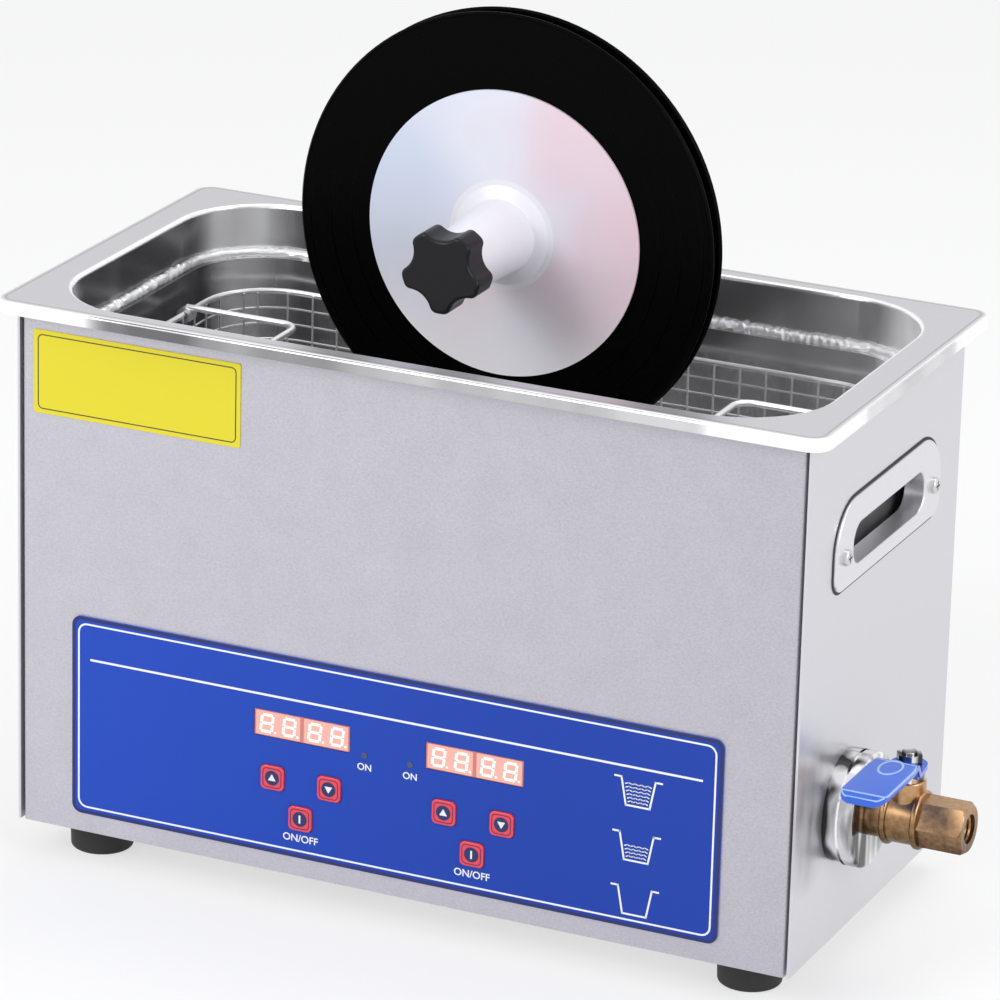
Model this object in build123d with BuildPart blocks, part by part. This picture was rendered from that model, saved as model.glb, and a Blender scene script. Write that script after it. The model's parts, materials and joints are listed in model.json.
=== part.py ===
from build123d import *
import os
from math import cos, radians, sin

os.makedirs("parts", exist_ok=True)

# X runs to the right, Y to the rear and Z up. The origin is the centre of the base plate's underside.
# All sizes are in millimetres.

# cabinet
body_width = 330.0
body_depth = 161.0
body_height = 212.0  # base plate to the lower edge of the rim's lip
sheet = 1.0
panel_bend = 1.6  # folded side edges of the front panel
shell_bend = 4.0  # rear corners of the body shell
seam_gap = 1.2  # open seam between front panel and side wall
seam_depth = 7.0
return_width = 9.0  # corner strip that backs the seam
base_flange = 10.0
foot_diameter = 26.0
foot_height = 15.0
foot_taper = 2.0
foot_inset_x = 25.0
foot_inset_y = 23.5
foot_screw_bore = 10.0
foot_screw_depth = 8.0
foot_round = 1.5
vent_count = 9
vent_rows = 2
vent_pitch = 12.0
vent_row_pitch = 46.0
vent_length = 30.0
vent_width = 4.0

# tank
rim_overhang = 7.5
rim_lip = 5.0
rim_corner = 8.0
rim_round = 1.6
tank_wall = 1.0
tank_side_gap = 6.0
opening_corner = 37.0
ledge_depth = 21.0
ledge_width = 5.0
tank_depth = 125.0
tank_floor_round = 9.0

# basket
basket_gap = 6.0  # wire basket to the lower tank wall
basket_drop = 10.0  # ledge to the basket's top
basket_leg = 12.0  # tank floor to the basket's floor
basket_corner = 28.0
basket_bend = 8.0
rim_wire = 3.0
mesh_wire = 2.0
mesh_pitch = 21.0
ring_pitch = 26.0
skid_half_span = 40.0
seat_gap = 0.3

# basket bails
bail_wire = 2.6
bail_reach = 50.0
bail_bend = 7.0
bail_eye = 6.4
bail_eye_length = 5.0
pivot_clearance = 0.08

# control panel
overlay_width = 276.0
overlay_height = 83.0
overlay_left = 24.5
overlay_bottom = 8.0
overlay_thickness = 0.8
overlay_corner = 4.0
display_width = 41.0
display_height = 10.6
display_left = 125.1  # body's left edge to the centre of the first display
display_pitch = 73.4
display_z = 61.6
display_recess = 0.15
window_clearance = 0.2
key_size = 10.0
key_corner = 2.0
key_upper_z = 39.6
key_lower_z = 24.7
key_half_pitch = 12.2
key_stand = 0.9  # key top above the overlay
key_travel = 0.5
key_clearance = 0.15
key_flange = 0.9
key_flange_width = 0.9
key_stem = 4.0
key_round = 0.4
lens_round = 0.1

# boards
board_gap = 8.0
board_thickness = 1.6
board_margin = 13.0
board_top = 89.0
board_bottom = 12.0
tact_size = 6.0
tact_corner = 0.75
tact_height = 4.4
post_diameter = 5.0
generator_length = 138.0
generator_depth = 36.0
generator_left = 14.0
generator_front = 14.0
generator_height = 8.0
component_height = 28.0
transformer_length = 30.0
transformer_depth = 26.0
sink_length = 40.0
sink_base = 3.0
sink_fin = 16.0
sink_fins = 7
capacitor_diameter = 14.0

# label plate
label_width = 89.4
label_height = 33.8
label_left = 7.4
label_top = 6.5  # below the lip
label_thickness = 0.4

# side handles
handle_width = 108.0
handle_height = 34.0
handle_z = 161.5
handle_thickness = 1.5
handle_top_corner = 19.0
handle_bottom_corner = 7.0
slot_width = 74.0
slot_height = 16.5
slot_corner = 7.5
slot_drop = 2.5
lip_depth = 7.0
lip_wall = 1.0
lip_round = 0.9
handle_round = 1.0
handle_screw_pitch = 91.0
screw_head = 6.4
screw_head_height = 2.0
screw_shank = 3.4
screw_length = 4.0
screw_clearance = 0.1
screw_slot = 0.8
screw_cross = 3.8

# transducers and heater
transducer_count = 3
transducer_pitch = 78.0
transducer_y = 6.0
horn_top = 46.0
horn_bottom = 38.0
horn_height = 25.0
ring_thickness = 5.0
tail_height = 11.0
tail_bolt = 12.0
tail_bolt_height = 6.0
pad_width = 190.0
pad_height = 55.0
pad_thickness = 2.0
pad_rise = 14.0

# fan, power inlet and switch in the rear wall
fan_size = 60.0
fan_depth = 15.0
fan_x = -110.0
fan_z = 45.0
fan_bore = 56.0
fan_tip_gap = 1.2
fan_hub = 24.0
fan_blades = 7
fan_blade_pitch = 38.0
fan_blade_fill = 0.72  # blade chord over the longest that fits
fan_screw_pitch = 50.0
fan_strut = 4.0
fan_seat = 3.0
fan_pin = 3.0
grille_slot = 4.0
grille_pitch = 8.0
inlet_x = 95.0
power_z = 42.0
inlet_width = 28.0
inlet_height = 21.0
inlet_flange = 4.0
flange_thickness = 2.5
inlet_depth = 24.0
socket_width = 24.4
socket_height = 16.6
socket_depth = 17.5
socket_chamfer = 3.5
pin_length = 12.5
pin_pitch = 7.0
pin_drop = 2.0
pin_thickness = 2.0
pin_width = 4.0
switch_x = 50.0
switch_width = 21.0
switch_height = 15.0
rocker_width = 17.0
rocker_height = 11.0
rocker_tilt = 8.0
rocker_gap = 0.6
rocker_depth = 3.0
rocker_stand = 1.6
rocker_pin = 2.0

# drain and valve
valve_from_front = 49.1
valve_z = 53.0
drain_from_side = 42.0
drain_bore = 10.0
spigot = 16.0
hose_wall = 2.0
hose_bend = 17.0
hose_grip = 10.0
drain_flange = 26.0
drain_flange_height = 1.6
drain_nut = 21.0
drain_nut_height = 4.0
tail_length = 19.0
escutcheon_diameter = 45.0
escutcheon_thickness = 12.0
escutcheon_groove = 1.2
escutcheon_round = 1.2
valve_diameter = 19.0
collar_diameter = 23.0
collar_width = 2.4
collar_round = 0.9
housing_diameter = 20.5
stem_from_wall = 25.6
ball_housing = 10.0
ball_diameter = 15.0
valve_reach = 51.0
hexagon = 18.0
thread_minor = 11.45
thread_depth = 12.0
boss_diameter = 14.0
boss_top = 16.0  # above the valve's axis
gland_height = 4.0
gland_hexagon = 12.0
stem_diameter = 6.0
stem_key = 2.5
stem_key_width = 5.4
stem_key_depth = 2.0
stem_flat = 4.2
lever_thickness = 2.0
lever_width = 18.0
lever_reach = 50.0
lever_rise = 5.0
lever_lip = 3.0
lever_neck = 14.0
lever_tip_share = 0.8
nut_height = 4.0
nut_hexagon = 9.0

# record stack on its spindle
spindle_above_rim = 27.0
record_diameter = 174.6
record_thickness = 1.6
record_label = 90.0
label_rise = 0.25
record_hole = 7.24
record_pitch = 8.0
front_record_y = 8.0  # middle of the front record
spacer_diameter = 96.0
protector_diameter = 114.0
protector_plate = 2.4
protector_rim = 1.0
hub_base = 30.0
hub_tip = 24.0
front_hub = 42.5
rear_hub = 18.0
spindle_diameter = 6.9
shaft_clearance = 0.05
star_diameter = 33.0
star_thickness = 13.0
star_lobes = 5
star_travel = 6.0
star_hollow_place = 21.5
star_hollow = 9.0
star_tip = 3.0
star_round = 1.5
star_cap = 3.0

# record drive
shaft_diameter = 7.0
motor_diameter = 46.0
motor_length = 20.0
case_size = 52.0
case_wall = 2.0
case_corner = 7.0
case_length = 28.4
cover_thickness = 2.0
bush_diameter = 12.0
bush_boss = 3.0
post_width = 30.0
post_thickness = 2.0
post_top = 75.0  # above the rim
post_foot = 19.0  # below the rim
slide_clearance = 0.1
carrier_height = 40.0
carrier_bottom = 12.0  # above the rim
carrier_wall = 2.0
carrier_wrap = 4.0
carrier_travel = 40.0
stud_diameter = 6.0
stud_rise = 9.0
washer_diameter = 14.0
washer_thickness = 1.5
knob_diameter = 20.0
knob_length = 12.0
knob_flute = 3.0
knob_flutes = 10
knob_round = 0.8
stud_length = 18.0
slot_play = 7.0
jack_bore = 8.0
hook_width = 44.0
hook_gap = 1.5  # rim edge to the rear leg
hook_drop = 30.0
clamp_below_rim = 18.0
clamp_pad_diameter = 12.0
clamp_pad_thickness = 3.0
clamp_nut = 10.0
clamp_nut_height = 5.0
clamp_screw_length = 17.0

# places that follow from the sizes above
pin_places = [(inlet_x - pin_pitch, power_z - pin_drop), (inlet_x + pin_pitch, power_z - pin_drop)]
pin_places.append((inlet_x, power_z + pin_drop / 2))
half_width = body_width / 2
half_depth = body_depth / 2
front_y = -half_depth
inner_x = half_width - sheet
inner_y = half_depth - sheet
inner_front = front_y + sheet
rim_top = body_height + rim_lip
rim_width = body_width + 2 * rim_overhang
rim_depth = body_depth + 2 * rim_overhang
shell_top = rim_top - tank_wall
opening_width = body_width - 2 * (sheet + tank_side_gap + tank_wall)
opening_depth = body_depth - 2 * (sheet + tank_wall)
lower_width = opening_width - 2 * ledge_width
lower_depth = opening_depth - 2 * ledge_width
ledge_z = rim_top - ledge_depth
floor_z = rim_top - tank_depth
panel_width = body_width - 2 * (sheet + seam_gap)
board_y = front_y + sheet + board_gap
display_xs = [-half_width + display_left + i * display_pitch for i in range(2)]
overlay_x = -half_width + overlay_left + overlay_width / 2
overlay_z = overlay_bottom + overlay_height / 2
overlay_face = front_y - overlay_thickness
key_places = {
    "key_temperature_up": (display_xs[0] - key_half_pitch, key_upper_z),
    "key_temperature_down": (display_xs[0] + key_half_pitch, key_upper_z),
    "key_heat": (display_xs[0], key_lower_z),
    "key_time_up": (display_xs[1] - key_half_pitch, key_upper_z),
    "key_time_down": (display_xs[1] + key_half_pitch, key_upper_z),
    "key_start": (display_xs[1], key_lower_z),
}
board_left = display_xs[0] - display_width / 2 - board_margin
board_right = display_xs[1] + display_width / 2 + board_margin
post_places = [
    (x, z)
    for x in (board_left + post_diameter, board_right - post_diameter)
    for z in (board_bottom + post_diameter, board_top - post_diameter)
]
foot_places = [
    (x * (half_width - foot_inset_x), y * (half_depth - foot_inset_y)) for x in (-1, 1) for y in (-1, 1)
]
valve_y = front_y + valve_from_front
stem_x = half_width + stem_from_wall
drain_x = half_width - drain_from_side
spindle_z = rim_top + spindle_above_rim
slot_z = handle_z - slot_drop
handle_screw_z = slot_z - slot_drop / 2
slot_cut = 2 * (lip_wall + window_clearance)
grille_radius = fan_bore / 2
grille_rows = int((grille_radius - grille_slot) / grille_pitch)
lower_corner = opening_corner - ledge_width
basket_top = ledge_z - basket_drop
generator_x = -inner_x + generator_left + generator_length / 2
generator_y = inner_front + generator_front + generator_depth / 2
post_x = generator_length / 2 - post_diameter
post_y = generator_depth / 2 - post_diameter
generator_posts = [(generator_x + x * post_x, generator_y + y * post_y) for x in (-1, 1) for y in (-1, 1)]


def front_plane(y):
    """Plane across Y whose normal looks to the front, with X to the right and Z up."""
    return Plane.XZ.offset(-y)


def side_plane(x):
    """Plane across X whose normal looks to the right, with Y and Z in it."""
    return Plane.YZ.offset(x)


def centred(pitch, limit):
    """Evenly pitched places about zero that stay within the limit."""
    count = int(2 * limit / pitch) + 1
    return [(i - (count - 1) / 2) * pitch for i in range(count)]


def wire_along(points, radii, diameter):
    """Round wire along a polyline with filleted corners."""
    path = FilletPolyline(*points, radius=radii)
    return sweep(Plane(path @ 0, z_dir=path % 0) * Circle(diameter / 2), path=path)


def is_collar_edge(edge):
    """True for the outer rims of the valve body's collars."""
    return abs(edge.radius - collar_diameter / 2) < shaft_clearance


def is_hook_bend(edge):
    """True for the outer corner where the bracket's web turns down into its rear leg."""
    place = edge.center()
    return place.Z > rim_top + sheet and place.Y > rim_depth / 2


# axis the records turn about
spindle_axis = Axis((0, 0, spindle_z), (0, 1, 0))

# front panel: a tray with folded side edges, windows for the displays and keys, and studs for the board
with BuildPart() as front_panel:
    with BuildSketch() as fold:
        with Locations((0, front_y + seam_depth / 2)):
            Rectangle(panel_width, seam_depth)
        fillet(fold.vertices().group_by(Axis.Y)[0], panel_bend)
        with Locations((0, front_y + sheet + seam_depth / 2)):
            Rectangle(panel_width - 2 * sheet, seam_depth, mode=Mode.SUBTRACT)
    extrude(amount=shell_top)
    with BuildSketch(Plane.XY.offset(sheet)):
        with Locations((0, front_y + sheet + seam_depth / 2)):
            Rectangle(panel_width - 2 * sheet, seam_depth - 2 * sheet)
    extrude(amount=sheet)
    with BuildSketch(front_plane(board_y)):
        with Locations(*post_places):
            Circle(post_diameter / 2)
    extrude(amount=board_gap)
    with BuildSketch(front_plane(front_y)):
        with Locations(*[(x, display_z) for x in display_xs]):
            Rectangle(display_width + 2 * window_clearance, display_height + 2 * window_clearance)
        with Locations(*key_places.values()):
            RectangleRounded(key_size + 2 * key_clearance, key_size + 2 * key_clearance, key_corner)
    extrude(amount=-sheet, mode=Mode.SUBTRACT)
front_panel.part.label = "front_panel"
export_step(front_panel.part, "parts/front_panel.step")

# body shell: left, rear and right wall from one sheet, with corner strips behind the front seams
with BuildPart() as body_shell:
    with BuildSketch() as shell_plan:
        Rectangle(body_width, body_depth)
        fillet(shell_plan.vertices().group_by(Axis.Y)[-1], shell_bend)
    extrude(amount=shell_top)
    with BuildSketch() as shell_inside:
        with Locations((0, -sheet)):
            Rectangle(2 * inner_x, body_depth)
        fillet(shell_inside.vertices().group_by(Axis.Y)[-1], shell_bend - sheet)
    extrude(amount=shell_top, mode=Mode.SUBTRACT)
    with BuildSketch():
        for side in (-1, 1):
            with Locations((side * (inner_x - return_width / 2), front_y + seam_depth + sheet / 2)):
                Rectangle(return_width, sheet)
    extrude(amount=shell_top)
    # hand slots, which run through both side walls
    with BuildSketch(side_plane(-half_width)):
        with Locations((0, slot_z)):
            RectangleRounded(slot_width + slot_cut, slot_height + slot_cut, slot_corner + slot_cut / 2)
        with Locations(*[(side * handle_screw_pitch / 2, handle_screw_z) for side in (-1, 1)]):
            Circle(screw_shank / 2 + screw_clearance)
    extrude(amount=body_width, mode=Mode.SUBTRACT)
    # drain valve in the right wall
    with BuildSketch(side_plane(inner_x)):
        with Locations((valve_y, valve_z)):
            Circle(valve_diameter / 2 + screw_clearance)
    extrude(amount=sheet, mode=Mode.SUBTRACT)
    # fan grille, power inlet and switch in the rear wall
    with BuildSketch(front_plane(inner_y)):
        for row in range(-grille_rows, grille_rows + 1):
            rise = row * grille_pitch
            with Locations((fan_x, fan_z + rise)):
                SlotOverall(2 * (grille_radius**2 - rise**2) ** 0.5, grille_slot)
        with Locations((inlet_x, power_z)):
            Rectangle(inlet_width + 2 * window_clearance, inlet_height + 2 * window_clearance)
        with Locations((switch_x, power_z)):
            Rectangle(switch_width + 2 * window_clearance, switch_height + 2 * window_clearance)
    extrude(amount=-sheet, mode=Mode.SUBTRACT)
body_shell.part.label = "body_shell"
export_step(body_shell.part, "parts/body_shell.step")

# base plate with turned-up flanges, vent slots and the generator board's studs
with BuildPart() as bottom_plate:
    with BuildSketch() as plate_plan:
        Rectangle(2 * inner_x, 2 * inner_y)
        fillet(plate_plan.vertices().group_by(Axis.Y)[-1], shell_bend - sheet)
    extrude(amount=base_flange)
    with BuildSketch(Plane.XY.offset(sheet)) as plate_inside:
        with Locations((0, -sheet)):
            Rectangle(2 * (inner_x - sheet), 2 * inner_y)
        fillet(plate_inside.vertices().group_by(Axis.Y)[-1], shell_bend - 2 * sheet)
    extrude(amount=base_flange, mode=Mode.SUBTRACT)
    with BuildSketch():
        # the flanges stop behind the front panel's folds and corner strips
        with Locations((0, front_y + seam_depth / 2 + sheet)):
            Rectangle(body_width, seam_depth)
    extrude(amount=base_flange + sheet, mode=Mode.SUBTRACT)
    with BuildSketch():
        with Locations((0, front_y + seam_depth / 2 + sheet)):
            Rectangle(2 * (inner_x - return_width), seam_depth)
    extrude(amount=sheet)
    with BuildSketch(Plane.XY.offset(sheet)):
        with Locations(*generator_posts):
            Circle(post_diameter / 2)
    extrude(amount=generator_height - sheet)
    with BuildSketch():
        with GridLocations(vent_pitch, vent_row_pitch, vent_count, vent_rows):
            SlotOverall(vent_length, vent_width, rotation=90)
        with Locations(*foot_places):
            Circle(foot_screw_bore / 4)
    extrude(amount=sheet, mode=Mode.SUBTRACT)
bottom_plate.part.label = "bottom_plate"
export_step(bottom_plate.part, "parts/bottom_plate.step")

# rubber feet with a counterbored seat for their screws
with BuildPart() as feet:
    for place in foot_places:
        with BuildSketch(Plane(origin=(*place, 0), z_dir=(0, 0, -1))):
            Circle(foot_diameter / 2)
        extrude(amount=foot_height, taper=foot_taper)
    bottom_edges = feet.edges().filter_by(GeomType.CIRCLE).group_by(Axis.Z)[0]
    fillet(bottom_edges, foot_round)
    with BuildSketch(Plane.XY.offset(-foot_height)):
        with Locations(*foot_places):
            Circle(foot_screw_bore / 2)
    extrude(amount=foot_screw_depth, mode=Mode.SUBTRACT)
feet.part.label = "feet"
export_step(feet.part, "parts/feet.step")

# room inside the tank
with BuildPart() as tank_room:
    with BuildSketch(Plane.XY.offset(floor_z)):
        RectangleRounded(lower_width, lower_depth, lower_corner)
    extrude(amount=ledge_z - floor_z)
    fillet(tank_room.faces().sort_by(Axis.Z)[0].edges(), tank_floor_round)
    with BuildSketch(Plane.XY.offset(ledge_z)):
        RectangleRounded(opening_width, opening_depth, opening_corner)
    extrude(amount=ledge_depth)

# tank: a drawn pan with a flat rim, a turned-down lip, a narrow ledge and a drain hole
with BuildPart() as tank:
    with BuildSketch(Plane.XY.offset(body_height)):
        RectangleRounded(rim_width, rim_depth, rim_corner)
    extrude(amount=rim_lip)
    fillet(tank.faces().sort_by(Axis.Z)[-1].edges(), rim_round)
    with BuildSketch(Plane.XY.offset(body_height)):
        RectangleRounded(rim_width - 2 * tank_wall, rim_depth - 2 * tank_wall, rim_corner - tank_wall)
    extrude(amount=rim_lip - tank_wall, mode=Mode.SUBTRACT)
    with BuildSketch(Plane.XY.offset(ledge_z - tank_wall)):
        RectangleRounded(opening_width, opening_depth, opening_corner)
        offset(amount=tank_wall)
    extrude(amount=ledge_depth)
    with BuildSketch(Plane.XY.offset(floor_z - tank_wall)):
        RectangleRounded(lower_width, lower_depth, lower_corner)
        offset(amount=tank_wall)
    extrude(amount=ledge_z - floor_z)
    fillet(tank.faces().sort_by(Axis.Z)[0].edges(), tank_floor_round + tank_wall)
    add(tank_room.part, mode=Mode.SUBTRACT)
    top_edges = tank.edges().filter_by_position(Axis.Z, rim_top - seat_gap, rim_top + seat_gap)
    inner_edges = [e for e in top_edges if abs(e.center().Y) < half_depth and abs(e.center().X) < inner_x]
    fillet(inner_edges, rim_round)
    with BuildSketch(Plane.XY.offset(floor_z - tank_wall)):
        with Locations((drain_x, valve_y)):
            Circle(spigot / 2 + screw_clearance)
    extrude(amount=tank_wall, mode=Mode.SUBTRACT)
tank.part.label = "tank"
export_step(tank.part, "parts/tank.step")

# basket: bent wires over two skids, held together by three rings; every wire is its own rod
ring_half_x = lower_width / 2 - basket_gap - rim_wire / 2
ring_half_y = lower_depth / 2 - basket_gap - rim_wire / 2
cross_half = ring_half_y - rim_wire / 2 - mesh_wire / 2
long_half = ring_half_x - rim_wire / 2 - mesh_wire / 2
wire_top = basket_top - mesh_wire
cross_floor = floor_z + basket_leg
long_floor = cross_floor + mesh_wire
basket_wires = []
for level, thickness in ((0, rim_wire), (1, mesh_wire), (2, mesh_wire)):
    ring_z = basket_top - rim_wire / 2 - level * ring_pitch
    grow = (rim_wire - thickness) / 2
    ring_path = Plane.XY.offset(ring_z) * RectangleRounded(
        2 * (ring_half_x - grow), 2 * (ring_half_y - grow), basket_corner
    ).wire()
    section = Plane(ring_path @ 0, z_dir=ring_path % 0) * Circle(thickness / 2)
    basket_wires.append(sweep(section, path=ring_path))
cross_wire_xs = centred(mesh_pitch, ring_half_x - basket_corner)
for x in cross_wire_xs:
    route = [(x, -cross_half, wire_top), (x, -cross_half, cross_floor), (x, cross_half, cross_floor)]
    basket_wires.append(wire_along(route + [(x, cross_half, wire_top)], basket_bend, mesh_wire))
long_wire_ys = centred(mesh_pitch, ring_half_y - basket_corner)
bail_half_span = (long_wire_ys[-1] + long_wire_ys[-2]) / 2
for y in long_wire_ys:
    route = [(-long_half, y, wire_top), (-long_half, y, long_floor), (long_half, y, long_floor)]
    basket_wires.append(wire_along(route + [(long_half, y, wire_top)], basket_bend, mesh_wire))
skid_top = cross_floor - mesh_wire / 2 - shaft_clearance
skid_z = floor_z + seat_gap + mesh_wire / 2
for x in (cross_wire_xs[1], cross_wire_xs[-2]):
    route = [(x, -skid_half_span, skid_top), (x, -skid_half_span, skid_z), (x, skid_half_span, skid_z)]
    basket_wires.append(wire_along(route + [(x, skid_half_span, skid_top)], mesh_wire, mesh_wire))
with BuildPart() as basket:
    add(basket_wires)
basket.part.label = "basket"
export_step(basket.part, "parts/basket.step")

# two wire bails that hinge on the end wires of the basket's top ring and lie folded inwards
eye_z = basket_top - rim_wire / 2
arm_z = eye_z + rim_wire / 2 + pivot_clearance + bail_wire / 2
for bail_name, side in (("bail_left", -1), ("bail_right", 1)):
    pivot_x = side * ring_half_x
    tip_x = pivot_x - side * bail_reach
    route = [(pivot_x, -bail_half_span, arm_z), (tip_x, -bail_half_span, arm_z)]
    route += [(tip_x, bail_half_span, arm_z), (pivot_x, bail_half_span, arm_z)]
    loop = wire_along(route, bail_bend, bail_wire)
    with BuildPart() as bail:
        add(loop)
        for end in (-1, 1):
            with BuildSketch(front_plane(end * bail_half_span + bail_eye_length / 2)):
                with Locations((pivot_x, eye_z)):
                    Circle(bail_eye / 2)
            extrude(amount=bail_eye_length)
        with BuildSketch(front_plane(bail_half_span + bail_eye_length)):
            with Locations((pivot_x, eye_z)):
                Circle(rim_wire / 2 + pivot_clearance)
        extrude(amount=2 * (bail_half_span + bail_eye_length), mode=Mode.SUBTRACT)
    bail.part.label = bail_name
    export_step(bail.part, f"parts/{bail_name}.step")

# printed overlay of the control panel
with BuildPart() as control_overlay:
    with BuildSketch(front_plane(front_y)):
        with Locations((overlay_x, overlay_z)):
            RectangleRounded(overlay_width, overlay_height, overlay_corner)
        with Locations(*[(x, display_z) for x in display_xs]):
            window = 2 * window_clearance
            Rectangle(display_width + window, display_height + window, mode=Mode.SUBTRACT)
        with Locations(*key_places.values()):
            key_hole = key_size + 2 * key_clearance
            RectangleRounded(key_hole, key_hole, key_corner, mode=Mode.SUBTRACT)
    extrude(amount=overlay_thickness)
control_overlay.part.label = "control_overlay"
export_step(control_overlay.part, "parts/control_overlay.step")

# plain label plate
label_x = -half_width + label_left + label_width / 2
label_z = body_height - label_top - label_height / 2
with BuildPart() as label_plate:
    with BuildSketch(front_plane(front_y)):
        with Locations((label_x, label_z)):
            RectangleRounded(label_width, label_height, sheet)
    extrude(amount=label_thickness)
label_plate.part.label = "label_plate"
export_step(label_plate.part, "parts/label_plate.step")

# control board on the panel's studs, with one short-travel switch behind each key
with BuildPart() as control_board:
    with BuildSketch(front_plane(board_y)):
        with Locations(((board_left + board_right) / 2, (board_bottom + board_top) / 2)):
            Rectangle(board_right - board_left, board_top - board_bottom)
    extrude(amount=-board_thickness)
    with BuildSketch(front_plane(board_y)):
        with Locations(*key_places.values()):
            RectangleRounded(tact_size, tact_size, tact_corner)
    extrude(amount=tact_height)
control_board.part.label = "control_board"
export_step(control_board.part, "parts/control_board.step")

# display modules: a lens in the overlay's window with its body on the board
for display_name, x in zip(("temperature_display", "timer_display"), display_xs):
    with BuildPart() as display:
        with BuildSketch(front_plane(board_y)):
            with Locations((x, display_z)):
                Rectangle(display_width, display_height)
        extrude(amount=board_y - overlay_face - display_recess)
        fillet(display.faces().sort_by(Axis.Y)[0].edges(), lens_round)
        with BuildSketch(front_plane(board_y)):
            with Locations((x, display_z)):
                Rectangle(display_width + 2 * sheet, display_height + 2 * sheet)
        extrude(amount=board_gap - 2 * sheet)
    display.part.label = display_name
    export_step(display.part, f"parts/{display_name}.step")

# keys: a domed cap, a flange behind the panel and a stem that meets its switch
for key_name, place in key_places.items():
    with BuildPart() as key:
        with BuildSketch(front_plane(inner_front + pivot_clearance)):
            with Locations(place):
                RectangleRounded(key_size, key_size, key_corner)
        extrude(amount=inner_front + pivot_clearance - overlay_face + key_stand)
        fillet(key.faces().sort_by(Axis.Y)[0].edges(), key_round)
        with BuildSketch(front_plane(inner_front + pivot_clearance)):
            with Locations(place):
                Rectangle(key_size + 2 * key_flange_width, key_size + 2 * key_flange_width)
        extrude(amount=-key_flange)
        with BuildSketch(front_plane(board_y - tact_height - key_travel - key_clearance)):
            with Locations(place):
                Circle(key_stem / 2)
        extrude(until=Until.NEXT)
    key.part.label = key_name
    export_step(key.part, f"parts/{key_name}.step")

# side handles: a pressed bezel with a folded lip round the hand slot
for handle_name, side in (("handle_left", -1), ("handle_right", 1)):
    with BuildPart() as handle:
        with BuildSketch(side_plane(half_width)) as bezel:
            with Locations((0, handle_z)):
                Rectangle(handle_width, handle_height)
            fillet(bezel.vertices().group_by(Axis.Y)[-1], handle_top_corner)
            fillet(bezel.vertices().group_by(Axis.Y)[0], handle_bottom_corner)
        extrude(amount=handle_thickness)
        fillet(handle.faces().sort_by(Axis.X)[-1].edges(), handle_round)
        with BuildSketch(side_plane(half_width - lip_depth)):
            with Locations((0, slot_z)):
                RectangleRounded(slot_width, slot_height, slot_corner)
            offset(amount=lip_wall)
        extrude(amount=lip_depth)
        with BuildSketch(side_plane(half_width - lip_depth)):
            with Locations((0, slot_z)):
                RectangleRounded(slot_width, slot_height, slot_corner)
        extrude(amount=lip_depth + handle_thickness, mode=Mode.SUBTRACT)
        mouth = handle.faces().sort_by(Axis.X)[-1].inner_wires()[0].edges()
        fillet(mouth, lip_round)
        with BuildSketch(side_plane(half_width)):
            with Locations(*[(end * handle_screw_pitch / 2, handle_screw_z) for end in (-1, 1)]):
                Circle(screw_shank / 2 + screw_clearance)
        extrude(amount=handle_thickness, mode=Mode.SUBTRACT)
        if side < 0:
            mirror(about=Plane.YZ, mode=Mode.REPLACE)
    handle.part.label = handle_name
    export_step(handle.part, f"parts/{handle_name}.step")

# pan-head screws of both handles
with BuildPart() as handle_screws:
    screw_seat = half_width + handle_thickness
    with BuildSketch(side_plane(screw_seat)):
        with Locations(*[(end * handle_screw_pitch / 2, handle_screw_z) for end in (-1, 1)]):
            Circle(screw_head / 2)
    extrude(amount=screw_head_height)
    fillet(handle_screws.faces().group_by(Axis.X)[-1].edges(), screw_head_height / 2)
    with BuildSketch(side_plane(screw_seat - screw_length)):
        with Locations(*[(end * handle_screw_pitch / 2, handle_screw_z) for end in (-1, 1)]):
            Circle(screw_shank / 2)
    extrude(amount=screw_length)
    with BuildSketch(side_plane(screw_seat + screw_head_height)):
        with Locations(*[(end * handle_screw_pitch / 2, handle_screw_z) for end in (-1, 1)]):
            Rectangle(screw_cross, screw_slot)
            Rectangle(screw_slot, screw_cross)
    extrude(amount=-screw_head_height / 2, mode=Mode.SUBTRACT)
    mirror(about=Plane.YZ)
handle_screws.part.label = "handle_screws"
export_step(handle_screws.part, "parts/handle_screws.step")

# transducers under the tank: aluminium horns, then piezo rings with a steel tail mass and its bolt
transducer_xs = [(i - (transducer_count - 1) / 2) * transducer_pitch for i in range(transducer_count)]
horn_foot = floor_z - tank_wall - horn_height
ring_foot = horn_foot - 2 * ring_thickness
with BuildPart() as transducer_horns:
    for x in transducer_xs:
        with BuildSketch(Plane(origin=(x, transducer_y, 0), x_dir=(1, 0, 0), z_dir=(0, -1, 0))) as horn_half:
            with BuildLine():
                Polyline(
                    (0, horn_foot),
                    (horn_bottom / 2, horn_foot),
                    (horn_bottom / 2, horn_foot + horn_height / 3),
                    (horn_top / 2, floor_z - tank_wall - horn_height / 6),
                    (horn_top / 2, floor_z - tank_wall),
                    (0, floor_z - tank_wall),
                    close=True,
                )
            make_face()
        revolve(axis=Axis((x, transducer_y, 0), (0, 0, 1)))
transducer_horns.part.label = "transducer_horns"
export_step(transducer_horns.part, "parts/transducer_horns.step")

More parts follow.
